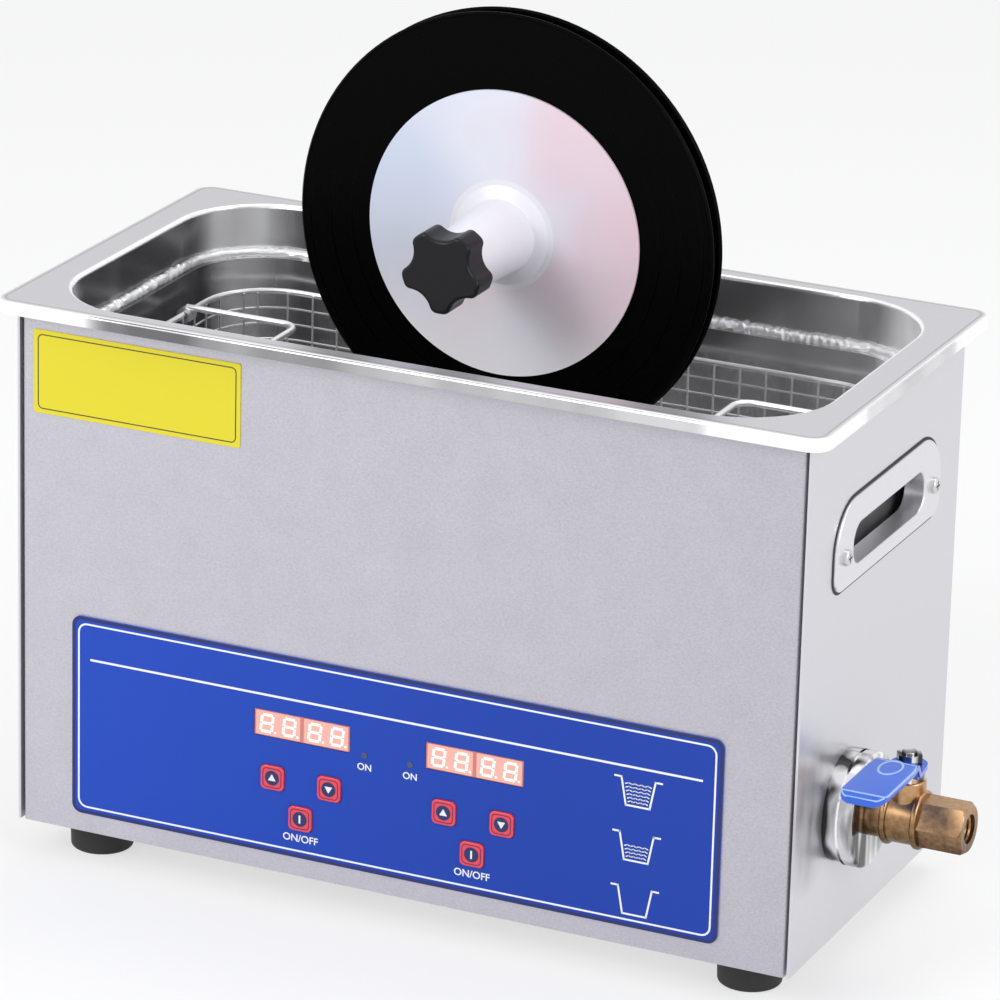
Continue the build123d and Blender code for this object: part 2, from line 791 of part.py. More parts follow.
with BuildPart() as piezo_stacks:
    with BuildSketch(Plane.XY.offset(ring_foot)):
        with Locations(*[(x, transducer_y) for x in transducer_xs]):
            Circle(horn_bottom / 2 - sheet)
    extrude(amount=2 * ring_thickness)
    with BuildSketch(Plane.XY.offset(ring_foot + ring_thickness - sheet / 2)):
        with Locations(*[(x, transducer_y) for x in transducer_xs]):
            Circle(horn_bottom / 2)
    extrude(amount=sheet)
    with BuildSketch(Plane.XY.offset(ring_foot)):
        with Locations(*[(x, transducer_y) for x in transducer_xs]):
            Circle(horn_bottom / 2)
    extrude(amount=-tail_height)
    with BuildSketch(Plane.XY.offset(ring_foot - tail_height)):
        with Locations(*[(x, transducer_y) for x in transducer_xs]):
            RegularPolygon(tail_bolt / 2, 6, major_radius=False)
    extrude(amount=-tail_bolt_height)
piezo_stacks.part.label = "piezo_stacks"
export_step(piezo_stacks.part, "parts/piezo_stacks.step")

# heater pad on the rear wall of the tank's lower room
with BuildPart() as heater_pad:
    with BuildSketch(front_plane(lower_depth / 2 + tank_wall)):
        with Locations((0, floor_z + pad_rise + pad_height / 2)):
            RectangleRounded(pad_width, pad_height, 2 * overlay_corner)
    extrude(amount=-pad_thickness)
heater_pad.part.label = "heater_pad"
export_step(heater_pad.part, "parts/heater_pad.step")

# generator board on the base plate's studs: transformer, finned heat sink, two capacitors and a relay
with BuildPart() as generator_board:
    with BuildSketch(Plane.XY.offset(generator_height)):
        with Locations((generator_x, generator_y)):
            Rectangle(generator_length, generator_depth)
    extrude(amount=board_thickness)
    with BuildSketch(Plane.XY.offset(generator_height + board_thickness)):
        with Locations((generator_x - generator_length / 3, generator_y)):
            Rectangle(transformer_length, transformer_depth)
        with Locations((generator_x, generator_y + generator_depth / 4)):
            Rectangle(sink_length, sink_base)
        with Locations((generator_x, generator_y + generator_depth / 4 - sink_fin / 2)):
            with GridLocations(sink_length / sink_fins, 0, sink_fins, 1):
                Rectangle(sheet, sink_fin)
        with Locations((generator_x + generator_length / 3, generator_y)):
            with GridLocations(0, capacitor_diameter + sheet, 1, 2):
                Circle(capacitor_diameter / 2)
    extrude(amount=component_height)
generator_board.part.label = "generator_board"
export_step(generator_board.part, "parts/generator_board.step")

# fan: a square frame with a strutted motor seat, and a seven-blade rotor
with BuildPart() as fan_frame:
    with BuildSketch(front_plane(inner_y)):
        with Locations((fan_x, fan_z)):
            RectangleRounded(fan_size, fan_size, overlay_corner)
            Circle(fan_bore / 2, mode=Mode.SUBTRACT)
            with GridLocations(fan_screw_pitch, fan_screw_pitch, 2, 2):
                Circle(screw_shank / 2, mode=Mode.SUBTRACT)
    extrude(amount=fan_depth)
    with BuildSketch(front_plane(inner_y - fan_depth)):
        with Locations((fan_x, fan_z)):
            Circle(fan_hub / 2)
            Rectangle(fan_bore + sheet, fan_strut, rotation=45)
            Rectangle(fan_bore + sheet, fan_strut, rotation=-45)
    extrude(amount=-fan_seat)
    with BuildSketch(front_plane(inner_y - fan_depth)):
        with Locations((fan_x, fan_z)):
            Circle(fan_pin / 2)
    extrude(amount=-fan_depth / 2)
fan_frame.part.label = "fan_frame"
export_step(fan_frame.part, "parts/fan_frame.step")

blade_length = fan_bore / 2 - fan_tip_gap - fan_hub / 2
rotor_room = fan_depth - fan_seat - 2 * fan_tip_gap
rotor_y = inner_y - fan_tip_gap - rotor_room / 2
blades = []
for i in range(fan_blades):
    blade = Box(blade_length + 2 * sheet, sheet, fan_blade_fill * rotor_room / sin(radians(fan_blade_pitch)))
    blade = Rot(X=90 - fan_blade_pitch) * blade
    blade = Pos(X=fan_hub / 2 + blade_length / 2 - sheet) * blade
    blades.append(Pos(fan_x, rotor_y, fan_z) * Rot(Y=i * 360 / fan_blades) * Rot(X=90) * blade)
with BuildPart() as fan_rotor:
    with BuildSketch(front_plane(rotor_y + rotor_room / 2)):
        with Locations((fan_x, fan_z)):
            Circle(fan_hub / 2)
    extrude(amount=rotor_room)
    add(blades)
    with BuildSketch(front_plane(rotor_y - rotor_room / 2)):
        with Locations((fan_x, fan_z)):
            Circle(fan_pin / 2 + shaft_clearance)
    extrude(amount=-(fan_depth / 2 - fan_seat), mode=Mode.SUBTRACT)
fan_rotor.part.label = "fan_rotor"
export_step(fan_rotor.part, "parts/fan_rotor.step")

# power inlet: a flanged socket with three flat pins, let into the rear wall
with BuildPart() as power_inlet:
    with BuildSketch(front_plane(half_depth)):
        with Locations((inlet_x, power_z)):
            Rectangle(inlet_width, inlet_height)
        offset(amount=inlet_flange)
    extrude(amount=-flange_thickness)
    fillet(power_inlet.faces().sort_by(Axis.Y)[-1].edges(), key_round)
    with BuildSketch(front_plane(half_depth)):
        with Locations((inlet_x, power_z)):
            Rectangle(inlet_width, inlet_height)
    extrude(amount=inlet_depth)
    with BuildSketch(front_plane(half_depth + flange_thickness)) as socket:
        with Locations((inlet_x, power_z)):
            Rectangle(socket_width, socket_height)
        chamfer(socket.vertices().group_by(Axis.Y)[-1], socket_chamfer)
    extrude(amount=socket_depth, mode=Mode.SUBTRACT)
    with BuildSketch(front_plane(half_depth - inlet_depth)):
        with Locations(*pin_places):
            Rectangle(pin_thickness, pin_width)
    extrude(amount=-inlet_depth, mode=Mode.SUBTRACT)
power_inlet.part.label = "power_inlet"
export_step(power_inlet.part, "parts/power_inlet.step")

with BuildPart() as inlet_pins:
    with BuildSketch(front_plane(half_depth - inlet_depth)):
        with Locations(*pin_places):
            Rectangle(pin_thickness, pin_width)
    extrude(amount=-(inlet_depth + flange_thickness - socket_depth + pin_length))
inlet_pins.part.label = "inlet_pins"
export_step(inlet_pins.part, "parts/inlet_pins.step")

# power switch: frame and rocker
rocker_y = half_depth + flange_thickness - rocker_depth
with BuildPart() as switch_frame:
    with BuildSketch(front_plane(half_depth)):
        with Locations((switch_x, power_z)):
            RectangleRounded(switch_width + inlet_flange, switch_height + inlet_flange, sheet)
    extrude(amount=-flange_thickness)
    fillet(switch_frame.faces().sort_by(Axis.Y)[-1].edges(), key_round)
    with BuildSketch(front_plane(half_depth)):
        with Locations((switch_x, power_z)):
            Rectangle(switch_width, switch_height)
    extrude(amount=inlet_depth)
    with BuildSketch(front_plane(half_depth + flange_thickness)):
        with Locations((switch_x, power_z)):
            Rectangle(rocker_width + 2 * rocker_gap, rocker_height + 2 * rocker_gap)
    extrude(amount=socket_depth, mode=Mode.SUBTRACT)
    with BuildSketch(side_plane(switch_x - rocker_width / 2 - rocker_gap)):
        with Locations((rocker_y, power_z)):
            Circle(rocker_pin / 2)
    extrude(amount=rocker_width + 2 * rocker_gap)
switch_frame.part.label = "switch_frame"
export_step(switch_frame.part, "parts/switch_frame.step")

with BuildPart() as switch_rocker:
    with BuildSketch(side_plane(switch_x - rocker_width / 2)):
        with Locations(Location((rocker_y, power_z), rocker_tilt)):
            Polygon(
                (-rocker_depth / 2, -rocker_height / 2 + sheet),
                (rocker_depth + rocker_stand, -rocker_height / 2 + rocker_gap),
                (rocker_depth, 0),
                (rocker_depth + rocker_stand, rocker_height / 2 - rocker_gap),
                (-rocker_depth / 2, rocker_height / 2 - sheet),
                align=None,
            )
            Circle(rocker_pin / 2 + pivot_clearance, mode=Mode.SUBTRACT)
    extrude(amount=rocker_width)
switch_rocker.part.label = "switch_rocker"
export_step(switch_rocker.part, "parts/switch_rocker.step")

# drain: a flanged fitting in the tank's floor, its nut and a hose elbow to the valve
drain_seat = floor_z - tank_wall
with BuildPart() as drain_fitting:
    with BuildSketch(Plane.XY.offset(floor_z)):
        with Locations((drain_x, valve_y)):
            Circle(drain_flange / 2)
    extrude(amount=drain_flange_height)
    fillet(drain_fitting.faces().sort_by(Axis.Z)[-1].edges(), drain_flange_height / 2)
    with BuildSketch(Plane.XY.offset(floor_z)):
        with Locations((drain_x, valve_y)):
            Circle(spigot / 2)
    extrude(amount=-(tank_wall + drain_nut_height + hose_grip))
    with BuildSketch(Plane.XY.offset(drain_seat)):
        with Locations((drain_x, valve_y)):
            RegularPolygon(drain_nut / 2, 6, major_radius=False)
    extrude(amount=-drain_nut_height)
    with BuildSketch(Plane.XY.offset(floor_z + drain_flange_height)):
        with Locations((drain_x, valve_y)):
            Circle(drain_bore / 2)
    extrude(amount=-(rim_top - valve_z), mode=Mode.SUBTRACT)
drain_fitting.part.label = "drain_fitting"
export_step(drain_fitting.part, "parts/drain_fitting.step")

hose_top = drain_seat - drain_nut_height
hose_end = inner_x - tail_length + hose_grip
hose_route = [(drain_x, valve_y, hose_top), (drain_x, valve_y, valve_z), (hose_end, valve_y, valve_z)]
hose_outside = wire_along(hose_route, hose_bend, spigot + 2 * (shaft_clearance + hose_wall))
hose_inside = wire_along(hose_route, hose_bend, spigot + 2 * shaft_clearance)
with BuildPart() as drain_hose:
    add(hose_outside)
    add(hose_inside, mode=Mode.SUBTRACT)
drain_hose.part.label = "drain_hose"
export_step(drain_hose.part, "parts/drain_hose.step")

# valve: a grooved chrome ring on the wall
with BuildPart() as valve_escutcheon:
    with BuildSketch(side_plane(half_width)):
        with Locations((valve_y, valve_z)):
            Circle(escutcheon_diameter / 2)
    extrude(amount=escutcheon_thickness)
    fillet(valve_escutcheon.faces().sort_by(Axis.X)[-1].edges(), escutcheon_round)
    with BuildSketch(side_plane(half_width + (escutcheon_thickness - escutcheon_groove) / 2)):
        with Locations((valve_y, valve_z)):
            Circle(escutcheon_diameter / 2 + sheet)
            Circle(escutcheon_diameter / 2 - escutcheon_groove, mode=Mode.SUBTRACT)
    extrude(amount=escutcheon_groove, mode=Mode.SUBTRACT)
    with BuildSketch(side_plane(half_width)):
        with Locations((valve_y, valve_z)):
            Circle(valve_diameter / 2 + screw_clearance)
    extrude(amount=escutcheon_thickness, mode=Mode.SUBTRACT)
valve_escutcheon.part.label = "valve_escutcheon"
export_step(valve_escutcheon.part, "parts/valve_escutcheon.step")

# brass body: turned outside with two collars, a bore with a ball seat, and a boss for the stem
housing_left = stem_x - ball_housing / 2
housing_right = stem_x + ball_housing / 2
hexagon_x = housing_right + collar_width
valve_end_x = half_width + valve_reach
with BuildPart() as valve_body:
    with BuildSketch(side_plane(inner_x - tail_length)):
        with Locations((valve_y, valve_z)):
            Circle(spigot / 2)
    extrude(amount=tail_length)
    with BuildSketch(side_plane(inner_x)):
        with Locations((valve_y, valve_z)):
            Circle(valve_diameter / 2)
    extrude(amount=hexagon_x - inner_x)
    for collar_x in (housing_left - collar_width, housing_right):
        with BuildSketch(side_plane(collar_x)):
            with Locations((valve_y, valve_z)):
                Circle(collar_diameter / 2)
        extrude(amount=collar_width)
    fillet(valve_body.edges().filter_by(GeomType.CIRCLE).filter_by(is_collar_edge), collar_round)
    with BuildSketch(side_plane(housing_left)):
        with Locations((valve_y, valve_z)):
            Circle(housing_diameter / 2)
    extrude(amount=ball_housing)
    with BuildSketch(Plane.XY.offset(valve_z)):
        with Locations((stem_x, valve_y)):
            Circle(boss_diameter / 2)
    extrude(amount=boss_top)
    fillet(valve_body.faces().sort_by(Axis.Z)[-1].edges(), collar_round)
    with BuildSketch(side_plane(inner_x - tail_length)):
        with Locations((valve_y, valve_z)):
            Circle(drain_bore / 2)
    extrude(amount=hexagon_x - inner_x + tail_length, mode=Mode.SUBTRACT)
    with Locations((stem_x, valve_y, valve_z)):
        Sphere(ball_diameter / 2 + shaft_clearance, mode=Mode.SUBTRACT)
    with BuildSketch(Plane.XY.offset(valve_z)):
        with Locations((stem_x, valve_y)):
            Circle(stem_diameter / 2 + shaft_clearance)
    extrude(amount=boss_top, mode=Mode.SUBTRACT)
valve_body.part.label = "valve_body"
export_step(valve_body.part, "parts/valve_body.step")

# hexagon end with the outlet's thread
with BuildPart() as valve_end:
    with BuildSketch(side_plane(hexagon_x)):
        with Locations((valve_y, valve_z)):
            RegularPolygon(hexagon / 2, 6, major_radius=False)
    extrude(amount=valve_end_x - hexagon_x)
    hexagon_length = valve_end_x - hexagon_x
    corner_cone = Cone(
        bottom_radius=hexagon / 2 + hexagon_length,
        top_radius=hexagon / 2 - sheet,
        height=hexagon_length + sheet,
        mode=Mode.PRIVATE,
    )
    cone_middle = (hexagon_x + valve_end_x + sheet) / 2
    add(Pos(cone_middle, valve_y, valve_z) * Rot(Y=90) * corner_cone, mode=Mode.INTERSECT)
    with BuildSketch(side_plane(hexagon_x)):
        with Locations((valve_y, valve_z)):
            Circle(drain_bore / 2)
    extrude(amount=valve_end_x - hexagon_x, mode=Mode.SUBTRACT)
    with BuildSketch(side_plane(valve_end_x)):
        with Locations((valve_y, valve_z)):
            Circle(thread_minor / 2)
    extrude(amount=-thread_depth, mode=Mode.SUBTRACT)
valve_end.part.label = "valve_end"
export_step(valve_end.part, "parts/valve_end.step")

# drilled ball, closed at rest: its bore lies across the pipe
with BuildPart() as valve_ball:
    with Locations((stem_x, valve_y, valve_z)):
        Sphere(ball_diameter / 2)
        Cylinder(drain_bore / 2, ball_diameter, rotation=(90, 0, 0), mode=Mode.SUBTRACT)
    with BuildSketch(Plane.XY.offset(valve_z + ball_diameter / 2)):
        with Locations((stem_x, valve_y)):
            Rectangle(stem_key, ball_diameter)
    extrude(amount=-stem_key_depth, mode=Mode.SUBTRACT)
valve_ball.part.label = "valve_ball"
export_step(valve_ball.part, "parts/valve_ball.step")

# stem: a key in the ball's slot, a round shank through the gland and a squared end for the lever
gland_top = valve_z + boss_top + gland_height
lever_z = gland_top + shaft_clearance
stem_top = lever_z + lever_thickness + nut_height + sheet
stem_foot = valve_z + ball_diameter / 2 - stem_key_depth
with BuildPart() as valve_stem:
    with BuildSketch(Plane.XY.offset(stem_foot)):
        with Locations((stem_x, valve_y)):
            Rectangle(stem_key - shaft_clearance, stem_key_width)
    extrude(amount=stem_key_depth)
    with BuildSketch(Plane.XY.offset(valve_z + ball_diameter / 2)):
        with Locations((stem_x, valve_y)):
            Circle(stem_diameter / 2)
    extrude(amount=stem_top - valve_z - ball_diameter / 2)
    with BuildSketch(Plane.XY.offset(lever_z)) as flats:
        with Locations((stem_x, valve_y)):
            Circle(stem_diameter)
            Rectangle(stem_diameter, stem_flat, mode=Mode.SUBTRACT)
    extrude(amount=lever_thickness, mode=Mode.SUBTRACT)
    fillet(valve_stem.faces().sort_by(Axis.Z)[-1].edges(), key_round)
valve_stem.part.label = "valve_stem"
export_step(valve_stem.part, "parts/valve_stem.step")

with BuildPart() as packing_nut:
    with BuildSketch(Plane.XY.offset(valve_z + boss_top)):
        with Locations((stem_x, valve_y)):
            RegularPolygon(gland_hexagon / 2, 6, major_radius=False)
            Circle(stem_diameter / 2 + shaft_clearance, mode=Mode.SUBTRACT)
    extrude(amount=gland_height)
packing_nut.part.label = "packing_nut"
export_step(packing_nut.part, "parts/packing_nut.step")

# lever: a plate on the stem, cranked up to a rounded paddle that points to the front
lever_tip = valve_y - lever_reach
with BuildPart() as valve_lever:
    with BuildSketch(side_plane(stem_x - lever_width / 2)) as crank:
        with BuildLine():
            FilletPolyline(
                (valve_y + boss_diameter / 2, lever_z + lever_thickness / 2),
                (valve_y - boss_diameter / 2 - sheet, lever_z + lever_thickness / 2),
                (valve_y - boss_diameter / 2 - lever_rise, lever_z + lever_thickness / 2 + lever_rise),
                (lever_tip + lever_lip, lever_z + lever_thickness / 2 + lever_rise),
                (lever_tip, lever_z + lever_thickness / 2 + lever_rise - lever_lip / 2),
                radius=lever_thickness,
            )
        trace(line_width=lever_thickness)
    extrude(amount=lever_width)
    with BuildSketch(Plane.XY.offset(lever_z - lever_thickness)) as lever_plan:
        with Locations((stem_x, valve_y)):
            Circle(boss_diameter / 2)
        with BuildLine():
            neck = lever_neck / 2
            paddle = lever_width / 2
            Polyline(
                (stem_x - neck, valve_y),
                (stem_x - paddle, valve_y - lever_reach / 3),
                (stem_x - paddle * lever_tip_share, lever_tip + paddle * lever_tip_share),
                (stem_x - paddle * lever_tip_share / 2, lever_tip - sheet),
                (stem_x + paddle * lever_tip_share / 2, lever_tip - sheet),
                (stem_x + paddle * lever_tip_share, lever_tip + paddle * lever_tip_share),
                (stem_x + paddle, valve_y - lever_reach / 3),
                (stem_x + neck, valve_y),
                close=True,
            )
        make_face()
    extrude(amount=lever_rise + 3 * lever_thickness, mode=Mode.INTERSECT)
    with BuildSketch(Plane.XY.offset(lever_z)) as stem_eye:
        with Locations((stem_x, valve_y)):
            Circle(stem_diameter / 2 + shaft_clearance)
            eye_flat = stem_flat + 2 * shaft_clearance
            Rectangle(stem_diameter * 2, eye_flat, mode=Mode.INTERSECT)
    extrude(amount=lever_thickness, mode=Mode.SUBTRACT)
valve_lever.part.label = "valve_lever"
export_step(valve_lever.part, "parts/valve_lever.step")

with BuildPart() as lever_nut:
    with BuildSketch(Plane.XY.offset(lever_z + lever_thickness)):
        with Locations((stem_x, valve_y)):
            RegularPolygon(nut_hexagon / 2, 6, major_radius=False)
            Circle(stem_diameter / 2 + shaft_clearance, mode=Mode.SUBTRACT)
    extrude(amount=nut_height)
lever_nut.part.label = "lever_nut"
export_step(lever_nut.part, "parts/lever_nut.step")

# bracket: a post that stands on the rear rim, its foot inside the tank and a hooked leg behind it
post_front = opening_depth / 2 - post_thickness
leg_y = rim_depth / 2 + hook_gap
clamp_z = rim_top - clamp_below_rim
carrier_y = post_front - slide_clearance - carrier_wall
knob_z = rim_top + carrier_bottom + stud_rise
with BuildPart() as rim_bracket:
    with BuildSketch(front_plane(opening_depth / 2)):
        with Locations((0, rim_top + (post_top - post_foot) / 2)):
            Rectangle(post_width, post_top + post_foot)
        with Locations((0, rim_top + sheet)):
            Rectangle(hook_width, post_thickness)
    extrude(amount=post_thickness)
    post_corners = rim_bracket.edges().filter_by(Axis.Y).group_by(Axis.Z)[-1]
    fillet(post_corners, overlay_corner)
    with BuildSketch(front_plane(opening_depth / 2)):
        with Locations((0, knob_z + carrier_travel / 2)):
            SlotOverall(carrier_travel + slot_play, stud_diameter + 2 * pivot_clearance, rotation=90)
    extrude(amount=post_thickness, mode=Mode.SUBTRACT)
    with BuildSketch(Plane.XY.offset(rim_top)):
        with Locations((0, (opening_depth / 2 + leg_y + post_thickness) / 2)):
            Rectangle(hook_width, leg_y + post_thickness - opening_depth / 2)
    extrude(amount=post_thickness)
    with BuildSketch(front_plane(leg_y)):
        with Locations((0, rim_top + post_thickness - hook_drop / 2)):
            Rectangle(hook_width, hook_drop)
    extrude(amount=-post_thickness)
    fillet(rim_bracket.edges().filter_by(Axis.X).filter_by(is_hook_bend), post_thickness)
    with BuildSketch(front_plane(leg_y + post_thickness)):
        with Locations((0, clamp_z)):
            RegularPolygon(clamp_nut / 2, 6, major_radius=False)
    extrude(amount=-clamp_nut_height)
    with BuildSketch(front_plane(leg_y)):
        with Locations((0, clamp_z)):
            Circle(stud_diameter / 2)
    extrude(amount=-(post_thickness + clamp_nut_height), mode=Mode.SUBTRACT)
rim_bracket.part.label = "rim_bracket"
export_step(rim_bracket.part, "parts/rim_bracket.step")

# swivel pad on the rear wall, and the clamp screw whose tip turns in it
with BuildPart() as clamp_pad:
    with BuildSketch(front_plane(half_depth)):
        with Locations((0, clamp_z)):
            Circle(clamp_pad_diameter / 2)
    extrude(amount=-clamp_pad_thickness)
    fillet(clamp_pad.faces().sort_by(Axis.Y)[-1].edges(), clamp_pad_thickness / 4)
    with BuildSketch(front_plane(half_depth + clamp_pad_thickness / 2)):
        with Locations((0, clamp_z)):
            Circle(stud_diameter / 2)
    extrude(amount=-clamp_pad_thickness, mode=Mode.SUBTRACT)
clamp_pad.part.label = "clamp_pad"
export_step(clamp_pad.part, "parts/clamp_pad.step")

screw_tip = half_depth + clamp_pad_thickness / 2
clamp_head = screw_tip + clamp_screw_length
with BuildPart() as clamp_screw:
    with BuildSketch(front_plane(screw_tip)):
        with Locations((0, clamp_z)):
            Circle(stud_diameter / 2 - shaft_clearance)
    extrude(amount=-clamp_screw_length)
    with BuildSketch(front_plane(clamp_head)):
        with Locations((0, clamp_z)):
            Circle(knob_diameter / 2)
            with PolarLocations(knob_diameter / 2 + knob_flute / 3, knob_flutes):
                Circle(knob_flute / 2, mode=Mode.SUBTRACT)
    extrude(amount=-knob_length)
    fillet(clamp_screw.faces().sort_by(Axis.Y)[-1].edges(), knob_round)
clamp_screw.part.label = "clamp_screw"
export_step(clamp_screw.part, "parts/clamp_screw.step")

# carrier: a channel that slides on the post, with a welded stud through the post's slot
carrier_z = rim_top + carrier_bottom
wrap_x = post_width / 2 + slide_clearance
with BuildPart() as carrier:
    with BuildSketch(Plane.XY.offset(carrier_z)) as channel:
        with Locations((0, carrier_y + (carrier_wall + post_thickness + carrier_wrap) / 2)):
            Rectangle(2 * (wrap_x + carrier_wall), carrier_wall + post_thickness + carrier_wrap)
        fillet(channel.vertices().group_by(Axis.Y)[0], carrier_wall)
        with Locations((0, carrier_y + carrier_wall + (post_thickness + carrier_wrap) / 2)):
            Rectangle(2 * wrap_x, post_thickness + carrier_wrap, mode=Mode.SUBTRACT)
    extrude(amount=carrier_height)
    with BuildSketch(front_plane(carrier_y + carrier_wall)):
        with Locations((0, knob_z)):
            Circle(stud_diameter / 2)
    extrude(amount=-stud_length)
carrier.part.label = "carrier"
export_step(carrier.part, "parts/carrier.step")

washer_y = opening_depth / 2
with BuildPart() as knob_washer:
    with BuildSketch(front_plane(washer_y)):
        with Locations((0, knob_z)):
            Circle(washer_diameter / 2)
            Circle(stud_diameter / 2 + shaft_clearance, mode=Mode.SUBTRACT)
    extrude(amount=-washer_thickness)
knob_washer.part.label = "knob_washer"
export_step(knob_washer.part, "parts/knob_washer.step")

with BuildPart() as height_knob:
    with BuildSketch(front_plane(washer_y + washer_thickness)):
        with Locations((0, knob_z)):
            Circle(knob_diameter / 2)
            with PolarLocations(knob_diameter / 2 + knob_flute / 3, knob_flutes):
                Circle(knob_flute / 2, mode=Mode.SUBTRACT)
    extrude(amount=-knob_length)
    fillet(height_knob.faces().sort_by(Axis.Y)[-1].edges(), knob_round)
    with BuildSketch(front_plane(washer_y + washer_thickness)):
        with Locations((0, knob_z)):
            Circle(stud_diameter / 2 + shaft_clearance)
    extrude(amount=-knob_length, mode=Mode.SUBTRACT)
height_knob.part.label = "height_knob"
export_step(height_knob.part, "parts/height_knob.step")

# motor case on the carrier, its cover with the spindle bush, and the gear motor inside
case_front = carrier_y - case_length
with BuildPart() as motor_case:
    with BuildSketch(front_plane(carrier_y)):
        with Locations((0, spindle_z)):
            RectangleRounded(case_size, case_size, case_corner)
    extrude(amount=case_length)
    fillet(motor_case.faces().sort_by(Axis.Y)[-1].edges(), case_wall)
    with BuildSketch(front_plane(carrier_y - case_wall)):
        with Locations((0, spindle_z)):
            RectangleRounded(case_size, case_size, case_corner)
        offset(amount=-case_wall)
    extrude(amount=case_length, mode=Mode.SUBTRACT)
    with BuildSketch(side_plane(-case_size / 2)):
        with Locations((carrier_y - case_length / 2, spindle_z - case_size / 4)):
            Circle(jack_bore / 2)
    extrude(amount=case_wall, mode=Mode.SUBTRACT)
motor_case.part.label = "motor_case"
export_step(motor_case.part, "parts/motor_case.step")

with BuildPart() as motor_cover:
    with BuildSketch(front_plane(case_front)):
        with Locations((0, spindle_z)):
            RectangleRounded(case_size, case_size, case_corner)
    extrude(amount=cover_thickness)
    fillet(motor_cover.faces().sort_by(Axis.Y)[0].edges(), cover_thickness / 2)
    with BuildSketch(front_plane(case_front - cover_thickness)):
        with Locations((0, spindle_z)):
            Circle(bush_diameter / 2 + cover_thickness)
    extrude(amount=bush_boss)
    with BuildSketch(front_plane(case_front)):
        with Locations((0, spindle_z)):
            Circle(bush_diameter / 2)
    extrude(amount=cover_thickness + bush_boss, mode=Mode.SUBTRACT)
    with BuildSketch(front_plane(case_front - cover_thickness)):
        with Locations((0, spindle_z)):
            with GridLocations(case_size - 2 * case_corner, case_size - 2 * case_corner, 2, 2):
                Circle(screw_head / 2)
    extrude(amount=-cover_thickness / 2, mode=Mode.SUBTRACT)
motor_cover.part.label = "motor_cover"
export_step(motor_cover.part, "parts/motor_cover.step")

with BuildPart() as motor_bush:
    with BuildSketch(front_plane(case_front)):
        with Locations((0, spindle_z)):
            Circle(bush_diameter / 2)
            Circle(shaft_diameter / 2 + shaft_clearance, mode=Mode.SUBTRACT)
    extrude(amount=cover_thickness + bush_boss)
motor_bush.part.label = "motor_bush"
export_step(motor_bush.part, "parts/motor_bush.step")

motor_back = carrier_y - case_wall
with BuildPart() as gear_motor:
    with BuildSketch(front_plane(motor_back)):
        with Locations((0, spindle_z)):
            Circle(motor_diameter / 2)
    extrude(amount=motor_length)
    with BuildSketch(front_plane(motor_back - motor_length)):
        with Locations((0, spindle_z)):
            Circle(bush_diameter / 2)
    extrude(amount=cover_thickness)
    with BuildSketch(front_plane(motor_back - motor_length / 2)):
        with Locations((0, spindle_z)):
            Circle(shaft_diameter / 2 + shaft_clearance)
    extrude(amount=motor_length, mode=Mode.SUBTRACT)
gear_motor.part.label = "gear_motor"
export_step(gear_motor.part, "parts/gear_motor.step")

# stack on the spindle, from the rear: drive flange, record, spacer, record, loose protector, star knob
back_record_y = front_record_y + record_pitch
half_record = record_thickness / 2
label_half = half_record + label_rise
flange_y = back_record_y + label_half
shaft_end = flange_y + protector_plate + rear_hub / 2
with BuildPart() as output_shaft:
    with BuildSketch(front_plane(shaft_end)):
        with Locations((0, spindle_z)):
            Circle(shaft_diameter / 2)
    extrude(amount=-(motor_back - motor_length / 2 - shaft_end))
output_shaft.part.label = "output_shaft"
export_step(output_shaft.part, "parts/output_shaft.step")

with BuildPart() as rear_protector:
    with BuildSketch(Plane.YZ) as flange_half:
        with BuildLine():
            Polyline(
                (flange_y, spindle_z),
                (flange_y, spindle_z + protector_diameter / 2),
                (flange_y + protector_rim, spindle_z + protector_diameter / 2),
                (flange_y + protector_plate, spindle_z + hub_base / 2 + protector_plate),
                (flange_y + protector_plate + sheet, spindle_z + hub_base / 2),
                (flange_y + protector_plate + rear_hub, spindle_z + hub_tip / 2),
                (flange_y + protector_plate + rear_hub, spindle_z),
                close=True,
            )
        make_face()
    revolve(axis=spindle_axis)
    with BuildSketch(front_plane(flange_y)):
        with Locations((0, spindle_z)):
            Circle(shaft_diameter / 2 + shaft_clearance)
    extrude(amount=-(protector_plate + rear_hub), mode=Mode.SUBTRACT)
rear_protector.part.label = "rear_protector"
export_step(rear_protector.part, "parts/rear_protector.step")

label_top_z = spindle_z + record_label / 2
label_foot_z = label_top_z + half_record
edge_z = spindle_z + record_diameter / 2
for record_name, record_y in (("rear_record", back_record_y), ("front_record", front_record_y)):
    with BuildPart() as record:
        with BuildSketch(Plane.YZ) as record_half:
            with BuildLine():
                Polyline(
                    (record_y - label_half, spindle_z + record_hole / 2),
                    (record_y - label_half, label_top_z),
                    (record_y - half_record, label_foot_z),
                    (record_y - half_record, edge_z - record_thickness),
                    (record_y - label_half, edge_z - half_record),
                    (record_y - label_rise, edge_z),
                    (record_y + label_rise, edge_z),
                    (record_y + label_half, edge_z - half_record),
                    (record_y + half_record, edge_z - record_thickness),
                    (record_y + half_record, label_foot_z),
                    (record_y + label_half, label_top_z),
                    (record_y + label_half, spindle_z + record_hole / 2),
                    close=True,
                )
            make_face()
        revolve(axis=spindle_axis)
    record.part.label = record_name
    export_step(record.part, f"parts/{record_name}.step")

